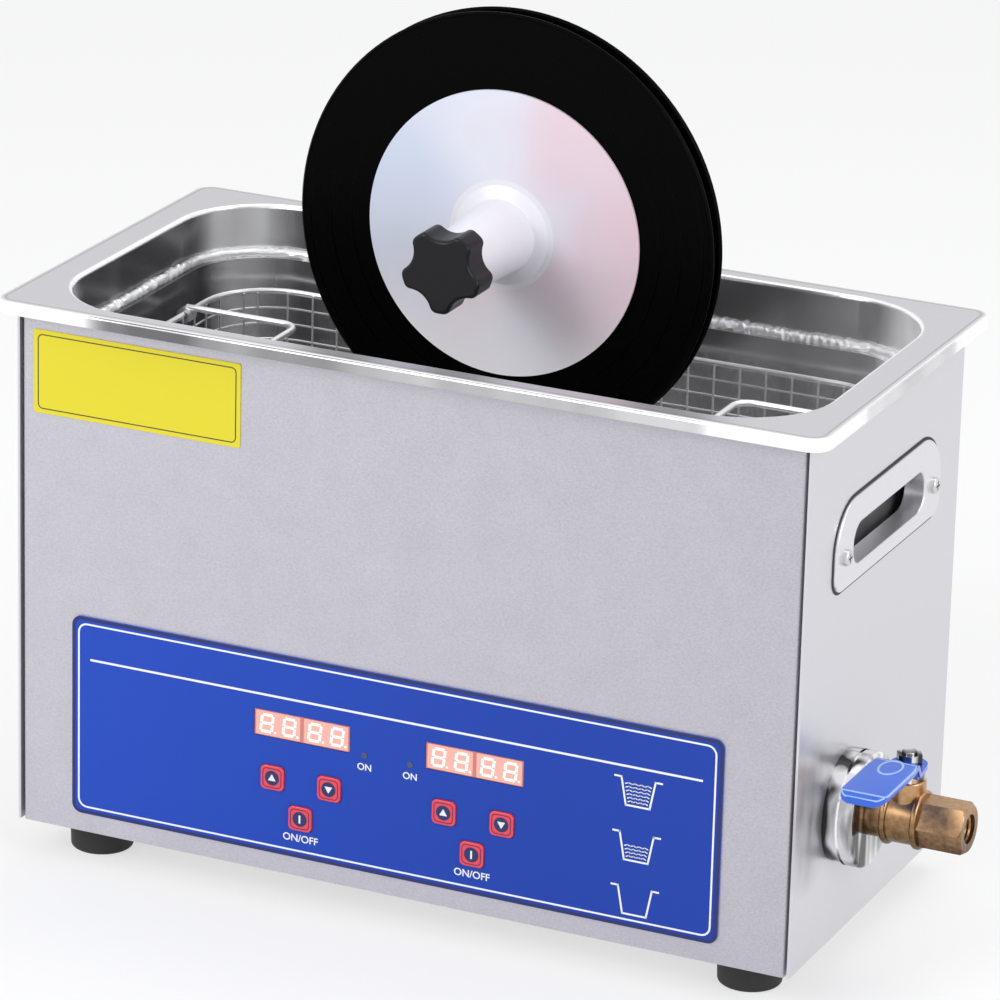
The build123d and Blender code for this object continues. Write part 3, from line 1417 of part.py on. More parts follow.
with BuildPart() as record_spacer:
    with BuildSketch(front_plane(back_record_y - label_half)):
        with Locations((0, spindle_z)):
            Circle(spacer_diameter / 2)
            Circle(shaft_diameter / 2 + shaft_clearance, mode=Mode.SUBTRACT)
    extrude(amount=record_pitch - 2 * label_half)
    fillet(record_spacer.faces().sort_by(Axis.Y)[0].outer_wire().edges(), sheet)
    fillet(record_spacer.faces().sort_by(Axis.Y)[-1].outer_wire().edges(), sheet)
record_spacer.part.label = "record_spacer"
export_step(record_spacer.part, "parts/record_spacer.step")

plate_y = front_record_y - label_half
hub_y = plate_y - protector_plate - front_hub
with BuildPart() as front_protector:
    with BuildSketch(Plane.YZ) as protector_half:
        with BuildLine():
            Polyline(
                (plate_y, spindle_z),
                (plate_y, spindle_z + protector_diameter / 2),
                (plate_y - protector_rim, spindle_z + protector_diameter / 2),
                (plate_y - protector_plate, spindle_z + hub_base / 2 + 2 * protector_plate),
                (plate_y - 2 * protector_plate, spindle_z + hub_base / 2),
                (hub_y, spindle_z + hub_tip / 2),
                (hub_y, spindle_z),
                close=True,
            )
        make_face()
    revolve(axis=spindle_axis)
    with BuildSketch(front_plane(plate_y)):
        with Locations((0, spindle_z)):
            Circle(shaft_diameter / 2 + shaft_clearance)
    extrude(amount=protector_plate + front_hub, mode=Mode.SUBTRACT)
front_protector.part.label = "front_protector"
export_step(front_protector.part, "parts/front_protector.step")

spindle_end = hub_y - star_thickness + star_cap
with BuildPart() as spindle:
    with BuildSketch(front_plane(shaft_end)):
        with Locations((0, spindle_z)):
            Circle(spindle_diameter / 2)
    extrude(amount=shaft_end - spindle_end)
    chamfer(spindle.faces().sort_by(Axis.Y)[0].edges(), sheet / 2)
spindle.part.label = "spindle"
export_step(spindle.part, "parts/spindle.step")

# star knob: rounded lobes joined by hollow flanks
with BuildPart() as star_knob:
    with BuildSketch(front_plane(hub_y)) as star:
        with Locations((0, spindle_z)):
            Circle(star_diameter / 2)
            with PolarLocations(star_hollow_place, star_lobes, start_angle=90):
                Circle(star_hollow, mode=Mode.SUBTRACT)
        fillet(star.vertices(), star_tip)
    extrude(amount=star_thickness)
    fillet(star_knob.faces().sort_by(Axis.Y)[0].edges(), star_round)
    with BuildSketch(front_plane(hub_y)):
        with Locations((0, spindle_z)):
            Circle(spindle_diameter / 2 + shaft_clearance)
    extrude(amount=star_thickness - star_cap + star_travel / 6, mode=Mode.SUBTRACT)
star_knob.part.label = "star_knob"
export_step(star_knob.part, "parts/star_knob.step")
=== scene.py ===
import bpy
import bmesh
import json
import math
from mathutils import Matrix, Vector, noise


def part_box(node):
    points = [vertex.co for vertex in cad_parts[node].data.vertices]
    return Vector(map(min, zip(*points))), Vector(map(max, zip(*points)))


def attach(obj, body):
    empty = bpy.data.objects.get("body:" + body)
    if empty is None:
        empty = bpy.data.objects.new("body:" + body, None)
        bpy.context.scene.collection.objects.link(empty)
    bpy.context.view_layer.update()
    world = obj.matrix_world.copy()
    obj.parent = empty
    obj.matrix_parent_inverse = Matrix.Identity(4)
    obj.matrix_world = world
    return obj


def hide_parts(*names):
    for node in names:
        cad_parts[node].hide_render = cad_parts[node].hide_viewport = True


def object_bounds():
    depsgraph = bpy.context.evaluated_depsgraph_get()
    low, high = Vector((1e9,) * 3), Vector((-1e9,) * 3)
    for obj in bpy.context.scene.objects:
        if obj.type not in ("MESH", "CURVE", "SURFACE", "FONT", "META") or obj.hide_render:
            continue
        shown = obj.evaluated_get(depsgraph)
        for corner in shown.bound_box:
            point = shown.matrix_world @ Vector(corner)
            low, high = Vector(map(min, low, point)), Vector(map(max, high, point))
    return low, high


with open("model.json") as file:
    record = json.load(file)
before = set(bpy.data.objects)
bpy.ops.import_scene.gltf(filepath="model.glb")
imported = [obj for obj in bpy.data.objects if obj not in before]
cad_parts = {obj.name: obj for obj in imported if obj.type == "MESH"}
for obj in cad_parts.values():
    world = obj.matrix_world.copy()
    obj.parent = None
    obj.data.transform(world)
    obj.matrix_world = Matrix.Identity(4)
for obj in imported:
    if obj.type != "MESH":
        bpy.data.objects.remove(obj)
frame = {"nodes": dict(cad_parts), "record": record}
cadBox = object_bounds()
print("frame loaded:", len(frame["nodes"]), "nodes")
mm = 0.001
axisX, axisY, axisZ = Vector((1, 0, 0)), Vector((0, 1, 0)), Vector((0, 0, 1))
zero = Vector((0, 0, 0))


def middleOf(node):
    low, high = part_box(node)
    return (low + high) / 2


def sizeOf(node):
    # width, depth and height in millimetres
    low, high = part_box(node)
    return (high - low) / mm


def metres(sizes, *plain):
    # a dictionary of millimetres turned to metres; the plain ones are counts or shares
    return {name: value if name in plain else value * mm for name, value in sizes.items()}


# shader sockets
class Wire:
    # one output of a material's nodes: arithmetic on it adds Math nodes
    def __init__(self, tree, out=None):
        self.tree, self.out = tree, out

    def plug(self, socket, value):
        if isinstance(value, Wire):
            self.tree.links.new(value.out, socket)
        else:
            socket.default_value = value

    def add(self, kind, settings=None, sockets=None, out=0):
        node = self.tree.nodes.new("ShaderNode" + kind)
        for name, value in (settings or {}).items():
            if name == "stops":
                stops = node.color_ramp.elements
                while len(stops) < len(value):
                    stops.new(0.5)
                for stop, (place, colour) in zip(stops, value):
                    stop.position, stop.color = place, tuple(colour) + (1,)
            else:
                setattr(node, name, value)
        for key, value in (sockets or {}).items():
            self.plug(node.inputs[key], value)
        return Wire(self.tree, node.outputs[out])

    def maths(self, operation, *values):
        return self.add("Math", {"operation": operation}, dict(enumerate(values)))

    def __add__(self, other):
        return self.maths("ADD", self, other)

    def __sub__(self, other):
        return self.maths("SUBTRACT", self, other)

    def __rsub__(self, other):
        return self.maths("SUBTRACT", other, self)

    def __mul__(self, other):
        return self.maths("MULTIPLY", self, other)

    def __truediv__(self, other):
        return self.maths("DIVIDE", self, other)

    __radd__, __rmul__ = __add__, __mul__

    def along(self, letter):
        return self.add("SeparateXYZ", None, {"Vector": self}, letter)

    def vector(self, operation, *values):
        out = "Value" if operation == "LENGTH" else "Vector"
        return self.add("VectorMath", {"operation": operation}, dict(enumerate((self,) + values)), out)

    def band(self, middle, reach):
        # one at the middle value, falling to nothing this far from it
        return 1 - self.maths("MINIMUM", self.maths("ABSOLUTE", self - middle) / reach, 1.0)

    def mix(self, first, second):
        # colour between two, by this value
        pair = [colour + (1,) if isinstance(colour, tuple) else colour for colour in (first, second)]
        return self.add("Mix", {"data_type": "RGBA"}, {"Factor": self, 6: pair[0], 7: pair[1]}, 2)


def newFinish(name, colour, rough, metal=0.0, **sockets):
    # a Principled material; returns the wire that builds on its nodes, and a setter for its sockets
    material = bpy.data.materials.new(name)
    material.use_nodes = True
    tree = material.node_tree
    shader = tree.nodes["Principled BSDF"]
    wire = Wire(tree)

    def put(**values):
        for key, value in values.items():
            wire.plug(shader.inputs[key.replace("_", " ")], value)

    put(Base_Color=tuple(colour) + (1,), Roughness=rough, Metallic=metal, **sockets)
    return material, wire, put


def objectPlace(wire, scale=(1, 1, 1), centre=(0, 0, 0)):
    place = wire.add("TexCoord", out="Object")
    return wire.add("Mapping", None, {"Vector": place, "Location": [-c * s for c, s in zip(centre, scale)],
                                      "Scale": scale})


def speckle(wire, place, size, detail=2.0, rough=0.5):
    # noise whose lumps are about this many millimetres across
    return wire.add("TexNoise", None, {"Vector": place, "Scale": 1 / (size * mm), "Detail": detail,
                                       "Roughness": rough}, "Fac")


def roughSkin(wire, height, depth):
    # bump of this depth in millimetres
    return wire.add("Bump", None, {"Height": height, "Distance": depth * mm, "Strength": 1.0})


def edgeAway(wire, half, corner):
    # how far a place lies outside a rounded rectangle seen from above, and a shine that grows in its corners
    flat = (half[0] - corner, half[1] - corner, 0)
    over = objectPlace(wire, (1, 1, 0)).vector("ABSOLUTE").vector("SUBTRACT", flat)
    beyond = over.vector("MAXIMUM", (0, 0, 0))
    inside = wire.maths("MINIMUM", wire.maths("MAXIMUM", over.along("X"), over.along("Y")), 0.0)
    shine = wire.maths("MINIMUM", beyond.along("X") * beyond.along("Y") * (2 / corner ** 2), 1.0)
    return beyond.vector("LENGTH") + inside - corner, shine


# finishes of the record's material slots
def mottledSteel():
    # embossed linen-like front sheet, faintly violet, with painted shade that makes it a little darker towards
    # the valve side
    material, wire, put = newFinish("mottledSteel", (0.60, 0.58, 0.63), 0.42, 0.75)
    fine = speckle(wire, objectPlace(wire, (1, 1, 1.5)), 1.1, 2.0, 0.6)
    broad = speckle(wire, objectPlace(wire), 14.0)
    # painted shade: the colour darkens towards the right
    tone = fine * 1.3 + broad * 0.3 - 0.3 - objectPlace(wire).along("X")
    put(Base_Color=tone.mix((0.45, 0.435, 0.48), (0.62, 0.605, 0.66)), Roughness=fine * 0.24 + 0.32,
        Normal=roughSkin(wire, fine, 0.09))
    return material


# size and place of the painted reflection of the valve on the right wall
valveReflectionSizes = {"y": -66.0, "z": 60.0, "radius": 26.0, "lumps": 9.0, "wall": 160.0}


def cabinetSteel():
    # rolled sheet with upright grain, and a painted reflection of the valve: a blurred dark patch on the right
    # wall beside it
    s, sheet = metres(valveReflectionSizes, "lumps"), (0.675, 0.67, 0.705)
    material, wire, put = newFinish("cabinetSteel", sheet, 0.32, 0.72)
    lines = speckle(wire, objectPlace(wire, (9, 9, 1)), 14.0, 3.0)
    away = objectPlace(wire, (0, 1, 0.8), (0, s["y"], s["z"])).vector("LENGTH")
    rightWall = wire.maths("GREATER_THAN", objectPlace(wire).along("X"), s["wall"])
    cloud = speckle(wire, objectPlace(wire, (1, 1, 0.4)), s["lumps"], 1.0) * 1.6
    # painted reflection: a blurred dark patch on the right wall beside the valve
    valveReflection = away.band(0.0, s["radius"]) * rightWall * cloud
    put(Base_Color=valveReflection.mix(sheet, (0.16, 0.15, 0.16)), Roughness=lines * 0.08 + 0.28,
        Normal=roughSkin(wire, lines, 0.002))
    return material


def brushedSteel():
    # strip of the bracket, its long fine grain upright
    material, wire, put = newFinish("bracketSteel", (0.66, 0.66, 0.67), 0.32, 0.95)
    lines = speckle(wire, objectPlace(wire, (8, 8, 1)), 12.0, 3.0)
    put(Roughness=lines * 0.16 + 0.24, Normal=roughSkin(wire, lines, 0.006))
    return material


# distances from the lip and the mouth of the tank, where the painted highlights and the painted shade line lie,
# and the height below which painted light makes its walls lighter
tankShades = {"edge": 2.0, "lipLine": -2.9, "lipLineHalf": 0.5, "turned": 0.3, "turnedHalf": 1.6,
              "turnedDeep": 1.4, "deepFrom": 165.0, "deepFade": 20.0}


def drawnSteel():
    # pressed tank: satin rim with a painted highlight on its turned edge and on its lip and a painted shade line
    # just inside the lip; below it grey walls with painted reflections in bands, painted highlights at the
    # corners, painted shade towards the left and painted light lower down
    s = metres(tankShades)
    material, wire, put = newFinish("drawnSteel", (0.66, 0.66, 0.67), 0.22, 1.0)
    place = objectPlace(wire)
    below = wire.maths("LESS_THAN", place.along("Z"), rimPlane)
    mouth, shine = edgeAway(wire, tankMouth[:2], tankMouth[2])
    lip = edgeAway(wire, tankLip[:2], tankLip[2])[0]
    # painted reflections: soft upright bands of dark and light on the walls
    bands = speckle(wire, objectPlace(wire, (1, 1, 0.05)), 24.0, 1.5, 0.4)
    grain = speckle(wire, objectPlace(wire, (1, 9, 9)), 9.0, 3.0)
    paintedLowLight = (s["deepFrom"] - place.along("Z")) / s["deepFade"]
    paintedLowLight = wire.maths("MINIMUM", wire.maths("MAXIMUM", paintedLowLight, 0.0), 1.0)
    # painted highlight in the rounded corners of the walls
    shine = shine * shine
    # painted light and shade on the walls: corner highlights and reflection bands, darker towards the left,
    # lighter lower down
    tone = shine * 1.4 + bands * 0.75 + place.along("X") * 2.2 + paintedLowLight * 0.25 - 0.045
    walls = tone.mix((0.17, 0.17, 0.175), (0.97, 0.97, 0.98))
    # painted highlight along the outer edge of the lip
    lipHighlight = lip.band(0.0, s["edge"])
    # painted shade: a dark line just inside the lip on the satin rim
    satin = lip.band(s["lipLine"], s["lipLineHalf"]).mix((0.55, 0.545, 0.57), (0.30, 0.30, 0.31))
    top = lipHighlight.mix(satin, (0.96, 0.955, 0.975))
    upper = wire.maths("GREATER_THAN", place.along("Z"), rimPlane - s["turnedDeep"])
    # painted highlight on the turned edge of the mouth
    turned = mouth.band(s["turned"], s["turnedHalf"]) * 1.6 * upper
    rim = 1 - below
    put(Base_Color=turned.mix(below.mix(top, walls), (0.97, 0.97, 0.98)),
        Roughness=(grain * 0.14 + lipHighlight * 0.22 + 0.08) * rim + 0.24,
        Metallic=0.85 - below * shine * 0.5 - lipHighlight * rim * 0.45)
    return material


def castBrass():
    # sand-cast skin, darker in the hollows, with painted shade that darkens it towards the bottom
    material, wire, put = newFinish("castBrass", (0.60, 0.38, 0.19), 0.30, 1.0)
    lumps = speckle(wire, objectPlace(wire), 2.0)
    # painted shade: the colour darkens towards the bottom of the valve
    height = (objectPlace(wire).along("Z") - middleOf("valve_end").z) / (26 * mm)
    put(Base_Color=(lumps * 0.8 + height + 0.05).mix((0.075, 0.036, 0.014), (0.54, 0.33, 0.17)),
        Roughness=lumps * 0.2 + 0.22, Normal=roughSkin(wire, lumps, 0.012))
    return material


def bandedChrome():
    # polished plating with a painted reflection of a room in upright dark and bright bands
    material, wire, put = newFinish("valveChrome", (0.80, 0.80, 0.81), 0.10, 1.0)
    bands = speckle(wire, objectPlace(wire, (1, 1, 0.1)), 6.0, 1.0, 0.4)
    # painted reflection: upright dark and bright bands in the colour
    put(Base_Color=(bands * 4.4 - 1.7).mix((0.05, 0.048, 0.048), (0.94, 0.94, 0.95)))
    return material


def shadedBlue():
    # printed film, a little paler towards its left end
    material, wire, put = newFinish("overlayBlue", (0.006, 0.048, 0.40), 0.36, 0.0, Specular_IOR_Level=0.3)
    along = 0.25 - objectPlace(wire).along("X") * 4.0
    put(Base_Color=along.mix((0.005, 0.046, 0.38), (0.009, 0.068, 0.52)))
    return material


def plainFinish(name, colour, rough, metal=0.0, grainSize=0.0, depth=0.02, **sockets):
    material, wire, put = newFinish(name, colour, rough, metal, **sockets)
    if grainSize:
        put(Normal=roughSkin(wire, speckle(wire, objectPlace(wire), grainSize), depth))
    return material


def groovedVinyl(centre):
    # fine rings about the spindle, with the wider gaps between tracks
    material, wire, put = newFinish("groovedVinyl", (0.0009, 0.0009, 0.0011), 0.34, 0.0, Specular_IOR_Level=0.035)
    away = objectPlace(wire, (1, 0, 1), centre).vector("LENGTH")
    grooves, tracks = (wire.maths("SINE", away * (2 * math.pi / (step * mm))) * 0.5 + 0.5 for step in (0.9, 9.0))
    gaps = wire.maths("GREATER_THAN", tracks, 0.97)
    put(Roughness=0.40 - gaps * 0.16, Normal=roughSkin(wire, grooves * (1 - gaps), 0.02))
    return material


def cloudyPlastic(centre):
    # milky moulding with soft blue and pink patches, greyer on its hub, and paler below the shaft where painted
    # light lifts the shaded lower side
    material, wire, put = newFinish("cloudyPlastic", (0.80, 0.81, 0.88), 0.36, 0.0, Coat_Weight=0.12)
    place = objectPlace(wire, (1, 1, 1), centre)
    side = place.along("X") * 6.5 + speckle(wire, place, 48.0, 1.0, 0.3) * 1.5 - 0.3
    stops = [(0.0, (0.66, 0.72, 0.86)), (0.38, (0.78, 0.79, 0.88)), (0.66, (0.80, 0.66, 0.74)),
             (1.0, (0.83, 0.60, 0.67))]
    ramp = wire.add("ValToRGB", {"stops": stops}, {"Fac": side})
    # painted light: the lower part is made paler to lift the shade that falls there
    under = (-0.01 - place.along("Z")) / 0.05
    hub = wire.maths("LESS_THAN", objectPlace(wire, (1, 0, 1), centre).vector("LENGTH"), 22 * mm)
    put(Base_Color=hub.mix(under.mix(ramp, (0.98, 0.96, 1.0)), (0.84, 0.83, 0.89)))
    return material


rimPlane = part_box("tank")[1].z - 0.3 * mm
tankMouth, tankLip = (0.157, 0.0785, 0.0374), (0.1725, 0.088, 0.008)  # half width, half depth and corner radius
spindleCentre = middleOf("front_record")
finishes = {
    "front_steel": mottledSteel(),
    "cabinet_steel": cabinetSteel(),
    "tank_steel": drawnSteel(),
    "basket_wire": plainFinish("basketWire", (0.86, 0.86, 0.87), 0.34, 0.85),
    "handle_steel": plainFinish("handleSteel", (0.75, 0.745, 0.775), 0.28, 0.72),
    "screw_steel": plainFinish("screwSteel", (0.66, 0.66, 0.67), 0.28, 1.0),
    "foot_rubber": plainFinish("footRubber", (0.018, 0.018, 0.018), 0.65, 0.0, 0.6, 0.03),
    "overlay_blue": shadedBlue(),
    "label_yellow": plainFinish("labelYellow", (0.76, 0.66, 0.014), 0.42, 0.0, 0.8, 0.006),
    "display_red": plainFinish("displayWindow", (0.60, 0.20, 0.17), 0.22, 0.0, Coat_Weight=0.5),
    "key_red": plainFinish("keyRed", (0.80, 0.045, 0.07), 0.30, 0.0, Coat_Weight=0.3),
    "board_green": plainFinish("boardGreen", (0.02, 0.16, 0.06), 0.4),
    "horn_aluminium": plainFinish("hornAluminium", (0.72, 0.72, 0.73), 0.35, 1.0),
    "piezo_ceramic": plainFinish("piezoCeramic", (0.60, 0.57, 0.50), 0.6),
    "heater_rubber": plainFinish("heaterRubber", (0.60, 0.16, 0.05), 0.6),
    "fan_plastic": plainFinish("fanPlastic", (0.02, 0.02, 0.02), 0.5, 0.0, 0.5, 0.02),
    "socket_plastic": plainFinish("socketPlastic", (0.02, 0.02, 0.021), 0.42, 0.0, 0.5, 0.01),
    "pin_brass": plainFinish("pinBrass", (0.78, 0.66, 0.40), 0.25, 1.0),
    "rocker_red": plainFinish("rockerRed", (0.62, 0.02, 0.02), 0.25, 0.0, Coat_Weight=0.4),
    "valve_chrome": bandedChrome(),
    "fitting_brass": castBrass(),
    "hose_rubber": plainFinish("hoseRubber", (0.03, 0.03, 0.03), 0.6),
    "lever_blue": plainFinish("leverBlue", (0.008, 0.11, 0.64), 0.26, 0.0, 2.0, 0.01, Coat_Weight=0.4),
    "record_vinyl": groovedVinyl(spindleCentre),
    "protector_plastic": cloudyPlastic(spindleCentre),
    "spacer_rubber": plainFinish("spacerRubber", (0.42, 0.44, 0.47), 0.6, 0.0, 0.5, 0.02),
    "star_plastic": plainFinish("starPlastic", (0.005, 0.005, 0.007), 0.34, 0.0, 0.35, 0.02,
                                Specular_IOR_Level=0.25),
    "spindle_steel": plainFinish("spindleSteel", (0.70, 0.70, 0.70), 0.22, 1.0),
    "bracket_steel": brushedSteel(),
    "case_plastic": plainFinish("casePlastic", (0.025, 0.025, 0.027), 0.42, 0.0, 0.4, 0.02),
}
for entry in frame["record"]["subparts"]:
    meshMaterials = frame["nodes"][entry["node"]].data.materials
    meshMaterials.clear()
    meshMaterials.append(finishes[entry["material_slot"]])
print("finishes:", len(finishes))


# building helpers
def finishPiece(bm, name, body, slotName, hides=(), material=None, sharp=35, merge=0.004, trim=None):
    bmesh.ops.remove_doubles(bm, verts=bm.verts, dist=merge * mm)
    bmesh.ops.recalc_face_normals(bm, faces=bm.faces)
    mesh = bpy.data.meshes.new(name)
    bm.to_mesh(mesh)
    bm.free()
    for entry in filter(None, (material or finishes[slotName], trim)):
        mesh.materials.append(entry)
    mesh.shade_smooth()
    mesh.set_sharp_from_angle(angle=math.radians(sharp))
    piece = bpy.data.objects.new(name, mesh)
    bpy.context.scene.collection.objects.link(piece)
    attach(piece, body)
    if hides:
        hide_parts(*hides)
    return piece


def vertsOf(geom):
    return [g for g in geom if isinstance(g, bmesh.types.BMVert)]


def turnTo(way):
    return way.to_track_quat("Z", "Y").to_matrix().to_4x4()


def joinInto(bm, part):
    mesh = bpy.data.meshes.new("part")
    part.to_mesh(mesh)
    part.free()
    bm.from_mesh(mesh)
    bpy.data.meshes.remove(mesh)


def runWire(bm, start, way, diameter, moves, sides, bendSteps, closed=False):
    # a round wire drawn out from a circle; a move is a length, or (side, radius) for a square bend
    turn = Matrix.Translation(start) @ turnTo(way)
    verts = bmesh.ops.create_circle(bm, segments=sides, radius=diameter / 2, matrix=turn)["verts"]
    edges = list({e for v in verts for e in v.link_edges})
    firstEdges, place, angle = edges, start.copy(), math.radians(90)
    for move in moves:
        if isinstance(move, tuple):
            centre, axis = place + move[0] * move[1], way.cross(move[0])
            made = bmesh.ops.spin(bm, geom=verts + edges, cent=centre, axis=axis, angle=angle, steps=bendSteps)
            geom = made["geom_last"]
            turn = Matrix.Rotation(angle, 3, axis)
            place, way = centre + turn @ (place - centre), turn @ way
        else:
            geom = bmesh.ops.extrude_edge_only(bm, edges=edges)["geom"]
            bmesh.ops.translate(bm, verts=vertsOf(geom), vec=way * move)
            place = place + way * move
        verts = vertsOf(geom)
        edges = [g for g in geom if isinstance(g, bmesh.types.BMEdge) and all(v in verts for v in g.verts)]
    if not closed:
        for rim in (firstEdges, edges):
            bmesh.ops.contextual_create(bm, geom=rim)


def roundedRing(bm, half, corner, z, diameter, sides, bendSteps):
    # a wire bent round a rounded rectangle in a level plane
    flatX, flatY = 2 * (half[0] - corner), 2 * (half[1] - corner)
    moves = [flatX, (axisY, corner), flatY, (-axisX, corner), flatX, (-axisY, corner), flatY, (axisX, corner)]
    start = Vector((-flatX / 2, -half[1], z))
    runWire(bm, start, axisX.copy(), diameter, moves, sides, bendSteps, closed=True)


def latheForm(points, steps, rounding):
    # a profile of (height, radius) in millimetres, spun about the upright axis
    bm = bmesh.new()
    verts = [bm.verts.new((radius * mm, 0, height * mm)) for height, radius in points]
    for pair in zip(verts, verts[1:]):
        bm.edges.new(pair)
    roundCorners(bm, [v for v in verts if len(v.link_edges) == 2], rounding * mm, 3)
    bmesh.ops.spin(bm, geom=bm.verts[:] + bm.edges[:], cent=zero, axis=axisZ, angle=2 * math.pi, steps=steps,
                   use_merge=True)
    return bm


def roundCorners(bm, verts, radius, steps):
    bmesh.ops.bevel(bm, geom=verts, offset=radius, segments=steps, affect="VERTICES", profile=0.5, material=-1)


def flatPlate(width, height):
    # one level face about the origin, in metres
    bm = bmesh.new()
    bmesh.ops.create_grid(bm, x_segments=1, y_segments=1, size=0.5)
    bmesh.ops.scale(bm, vec=(width, height, 1), verts=bm.verts)
    return bm


def keepBorder(bm, border):
    # cuts the middle out of a plate
    bmesh.ops.inset_region(bm, faces=bm.faces[:], thickness=border, use_boundary=True, use_even_offset=True)
    inner = min(bm.faces, key=lambda f: f.calc_center_median().length)
    bmesh.ops.delete(bm, geom=[inner], context="FACES")


def standPlate(bm, thick, place):
    # gives a plate its thickness and brings it to its place
    made = bmesh.ops.extrude_face_region(bm, geom=bm.faces[:])
    bmesh.ops.translate(bm, verts=vertsOf(made["geom"]), vec=(0, 0, thick))
    bmesh.ops.transform(bm, matrix=place, verts=bm.verts)


frontTurn = Matrix.Rotation(math.radians(90), 4, "X")  # drawn in XY, stood up to face the front


def addPlate(bm, centre, size, corner, thick, border=0.0, cornerSteps=6, turn=frontTurn):
    # a thin plate with rounded corners, or only its border; size and the rest in millimetres
    part = flatPlate(size[0] * mm, size[1] * mm)
    roundCorners(part, part.verts[:], corner * mm, cornerSteps)
    if border:
        keepBorder(part, border * mm)
    standPlate(part, thick * mm, Matrix.Translation(centre) @ turn)
    joinInto(bm, part)


def addDisc(bm, centre, across, thick, steps, border=0.0, turn=frontTurn):
    addPlate(bm, centre, (across, across), across / 2 - 0.01, thick, border, steps, turn)


def addBar(bm, first, last, width, thick, turn=frontTurn, centre=zero):
    # a straight printed stroke between two places in the drawing plane, in millimetres
    a, b = Vector(first) * mm, Vector(last) * mm
    way = b - a
    size = Matrix.Diagonal((way.length + width * mm, width * mm, thick * mm, 1))
    lie = Matrix.Translation((a + b).to_3d() / 2) @ Matrix.Rotation(math.atan2(way.y, way.x), 4, "Z")
    lift = Matrix.Translation((0, 0, thick * mm / 2))
    bmesh.ops.create_cube(bm, size=1, matrix=Matrix.Translation(centre) @ turn @ lift @ lie @ size)


headShares = {"shoulder": 0.5, "crown": 0.3, "rounding": 0.07, "crossLong": 0.56, "crossWide": 0.13,
              "crossDeep": 0.08}


def panHead(bm, centre, axis, diameter, height):
    # a round screw head with a fine cross on its crown
    h = headShares
    profile = [(0, 0), (0, diameter / 2), (height * h["shoulder"], diameter / 2), (height, diameter * h["crown"]),
               (height, 0)]
    head = latheForm(profile, 24, diameter * h["rounding"])
    cross = bmesh.new()
    for x, y in ((h["crossLong"], h["crossWide"]), (h["crossWide"], h["crossLong"])):
        block = Matrix.Diagonal((x * diameter * mm, y * diameter * mm, h["crossDeep"] * height * mm, 1))
        bmesh.ops.create_cube(cross, size=1, matrix=Matrix.Translation((0, 0, height * mm)) @ block)
    joinInto(head, cross)
    bmesh.ops.transform(head, matrix=Matrix.Translation(centre) @ turnTo(axis), verts=head.verts)
    joinInto(bm, head)


def spaced(step, limit):
    # evenly spaced places about zero that stay within the limit
    count = int(2 * limit / step) + 1
    return [(i - (count - 1) / 2) * step for i in range(count)]


# wire basket: fine mesh in the outline of the plain one
basketSizes = {"rimWire": 2.4, "meshWire": 0.9, "stepX": 5.5, "stepY": 5.0, "levels": 12, "corner": 28.0,
               "bend": 8.0, "stub": 0.6, "lift": 8.0, "skidWire": 2.0, "skidX": 94.5, "skidHalf": 40.0}


def buildBasket():
    low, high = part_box("basket")
    s = metres(basketSizes, "levels")
    rim, wire, corner, bend, skid = s["rimWire"], s["meshWire"], s["corner"], s["bend"], s["skidWire"]
    halfX, halfY, top = high.x - rim / 2, high.y - rim / 2, high.z - rim / 2
    inX, inY = halfX - rim / 2 - wire / 2, halfY - rim / 2 - wire / 2
    floor = low.z + 2 * skid + s["lift"]
    bm = bmesh.new()
    roundedRing(bm, (halfX, halfY), corner, top, rim, 10, 8)

    def reach(place, along, across):
        # how far a wire reaches at this place, pulled in round the corner
        over = max(0, abs(place) - (along - corner))
        return across - corner + math.sqrt(max(corner ** 2 - over ** 2, 0))

    # every second wire climbs to the rim; the others stop at the lowest ring
    for side, way, step, along, across, level in ((axisX, axisY, s["stepX"], inX, inY, floor),
                                                  (axisY, axisX, s["stepY"], inY, inX, floor + wire)):
        for i, place in enumerate(spaced(step, along - corner * 0.3)):
            half, drop = reach(place, along, across), s["stub"] if i % 2 else top - level - bend
            start = side * place - way * half + axisZ * (level + bend + drop)
            runWire(bm, start, -axisZ, wire, [drop, (way, bend), 2 * (half - bend), (axisZ, bend), drop], 6, 3)
    for level in range(1, s["levels"]):
        z = top + (floor + bend - top) * level / (s["levels"] - 1)
        roundedRing(bm, (halfX - rim / 2, halfY - rim / 2), corner, z, wire, 6, 6)
    under = floor - wire / 2
    drop = under - low.z - skid * 1.5
    for x in (-s["skidX"], s["skidX"]):
        moves = [drop, (axisY, skid), 2 * (s["skidHalf"] - skid), (axisZ, skid), drop]
        runWire(bm, Vector((x, -s["skidHalf"], under)), -axisZ, skid, moves, 8, 3)
    finishPiece(bm, "basketMesh", "wire_basket", "basket_wire", ["basket"], merge=0.001)


buildBasket()
print("basket woven")


# tank: the weld bead that runs round the ledge
beadSizes = {"diameter": 4.0, "inset": 1.2, "ledge": 196.0, "rise": 0.3, "lumps": 0.75, "lumpSize": 1.9,
             "fineSize": 0.8, "fineShare": 0.7}
beadCuts = ((150, 420), (40, 150))  # edges longer than the first are cut this many times


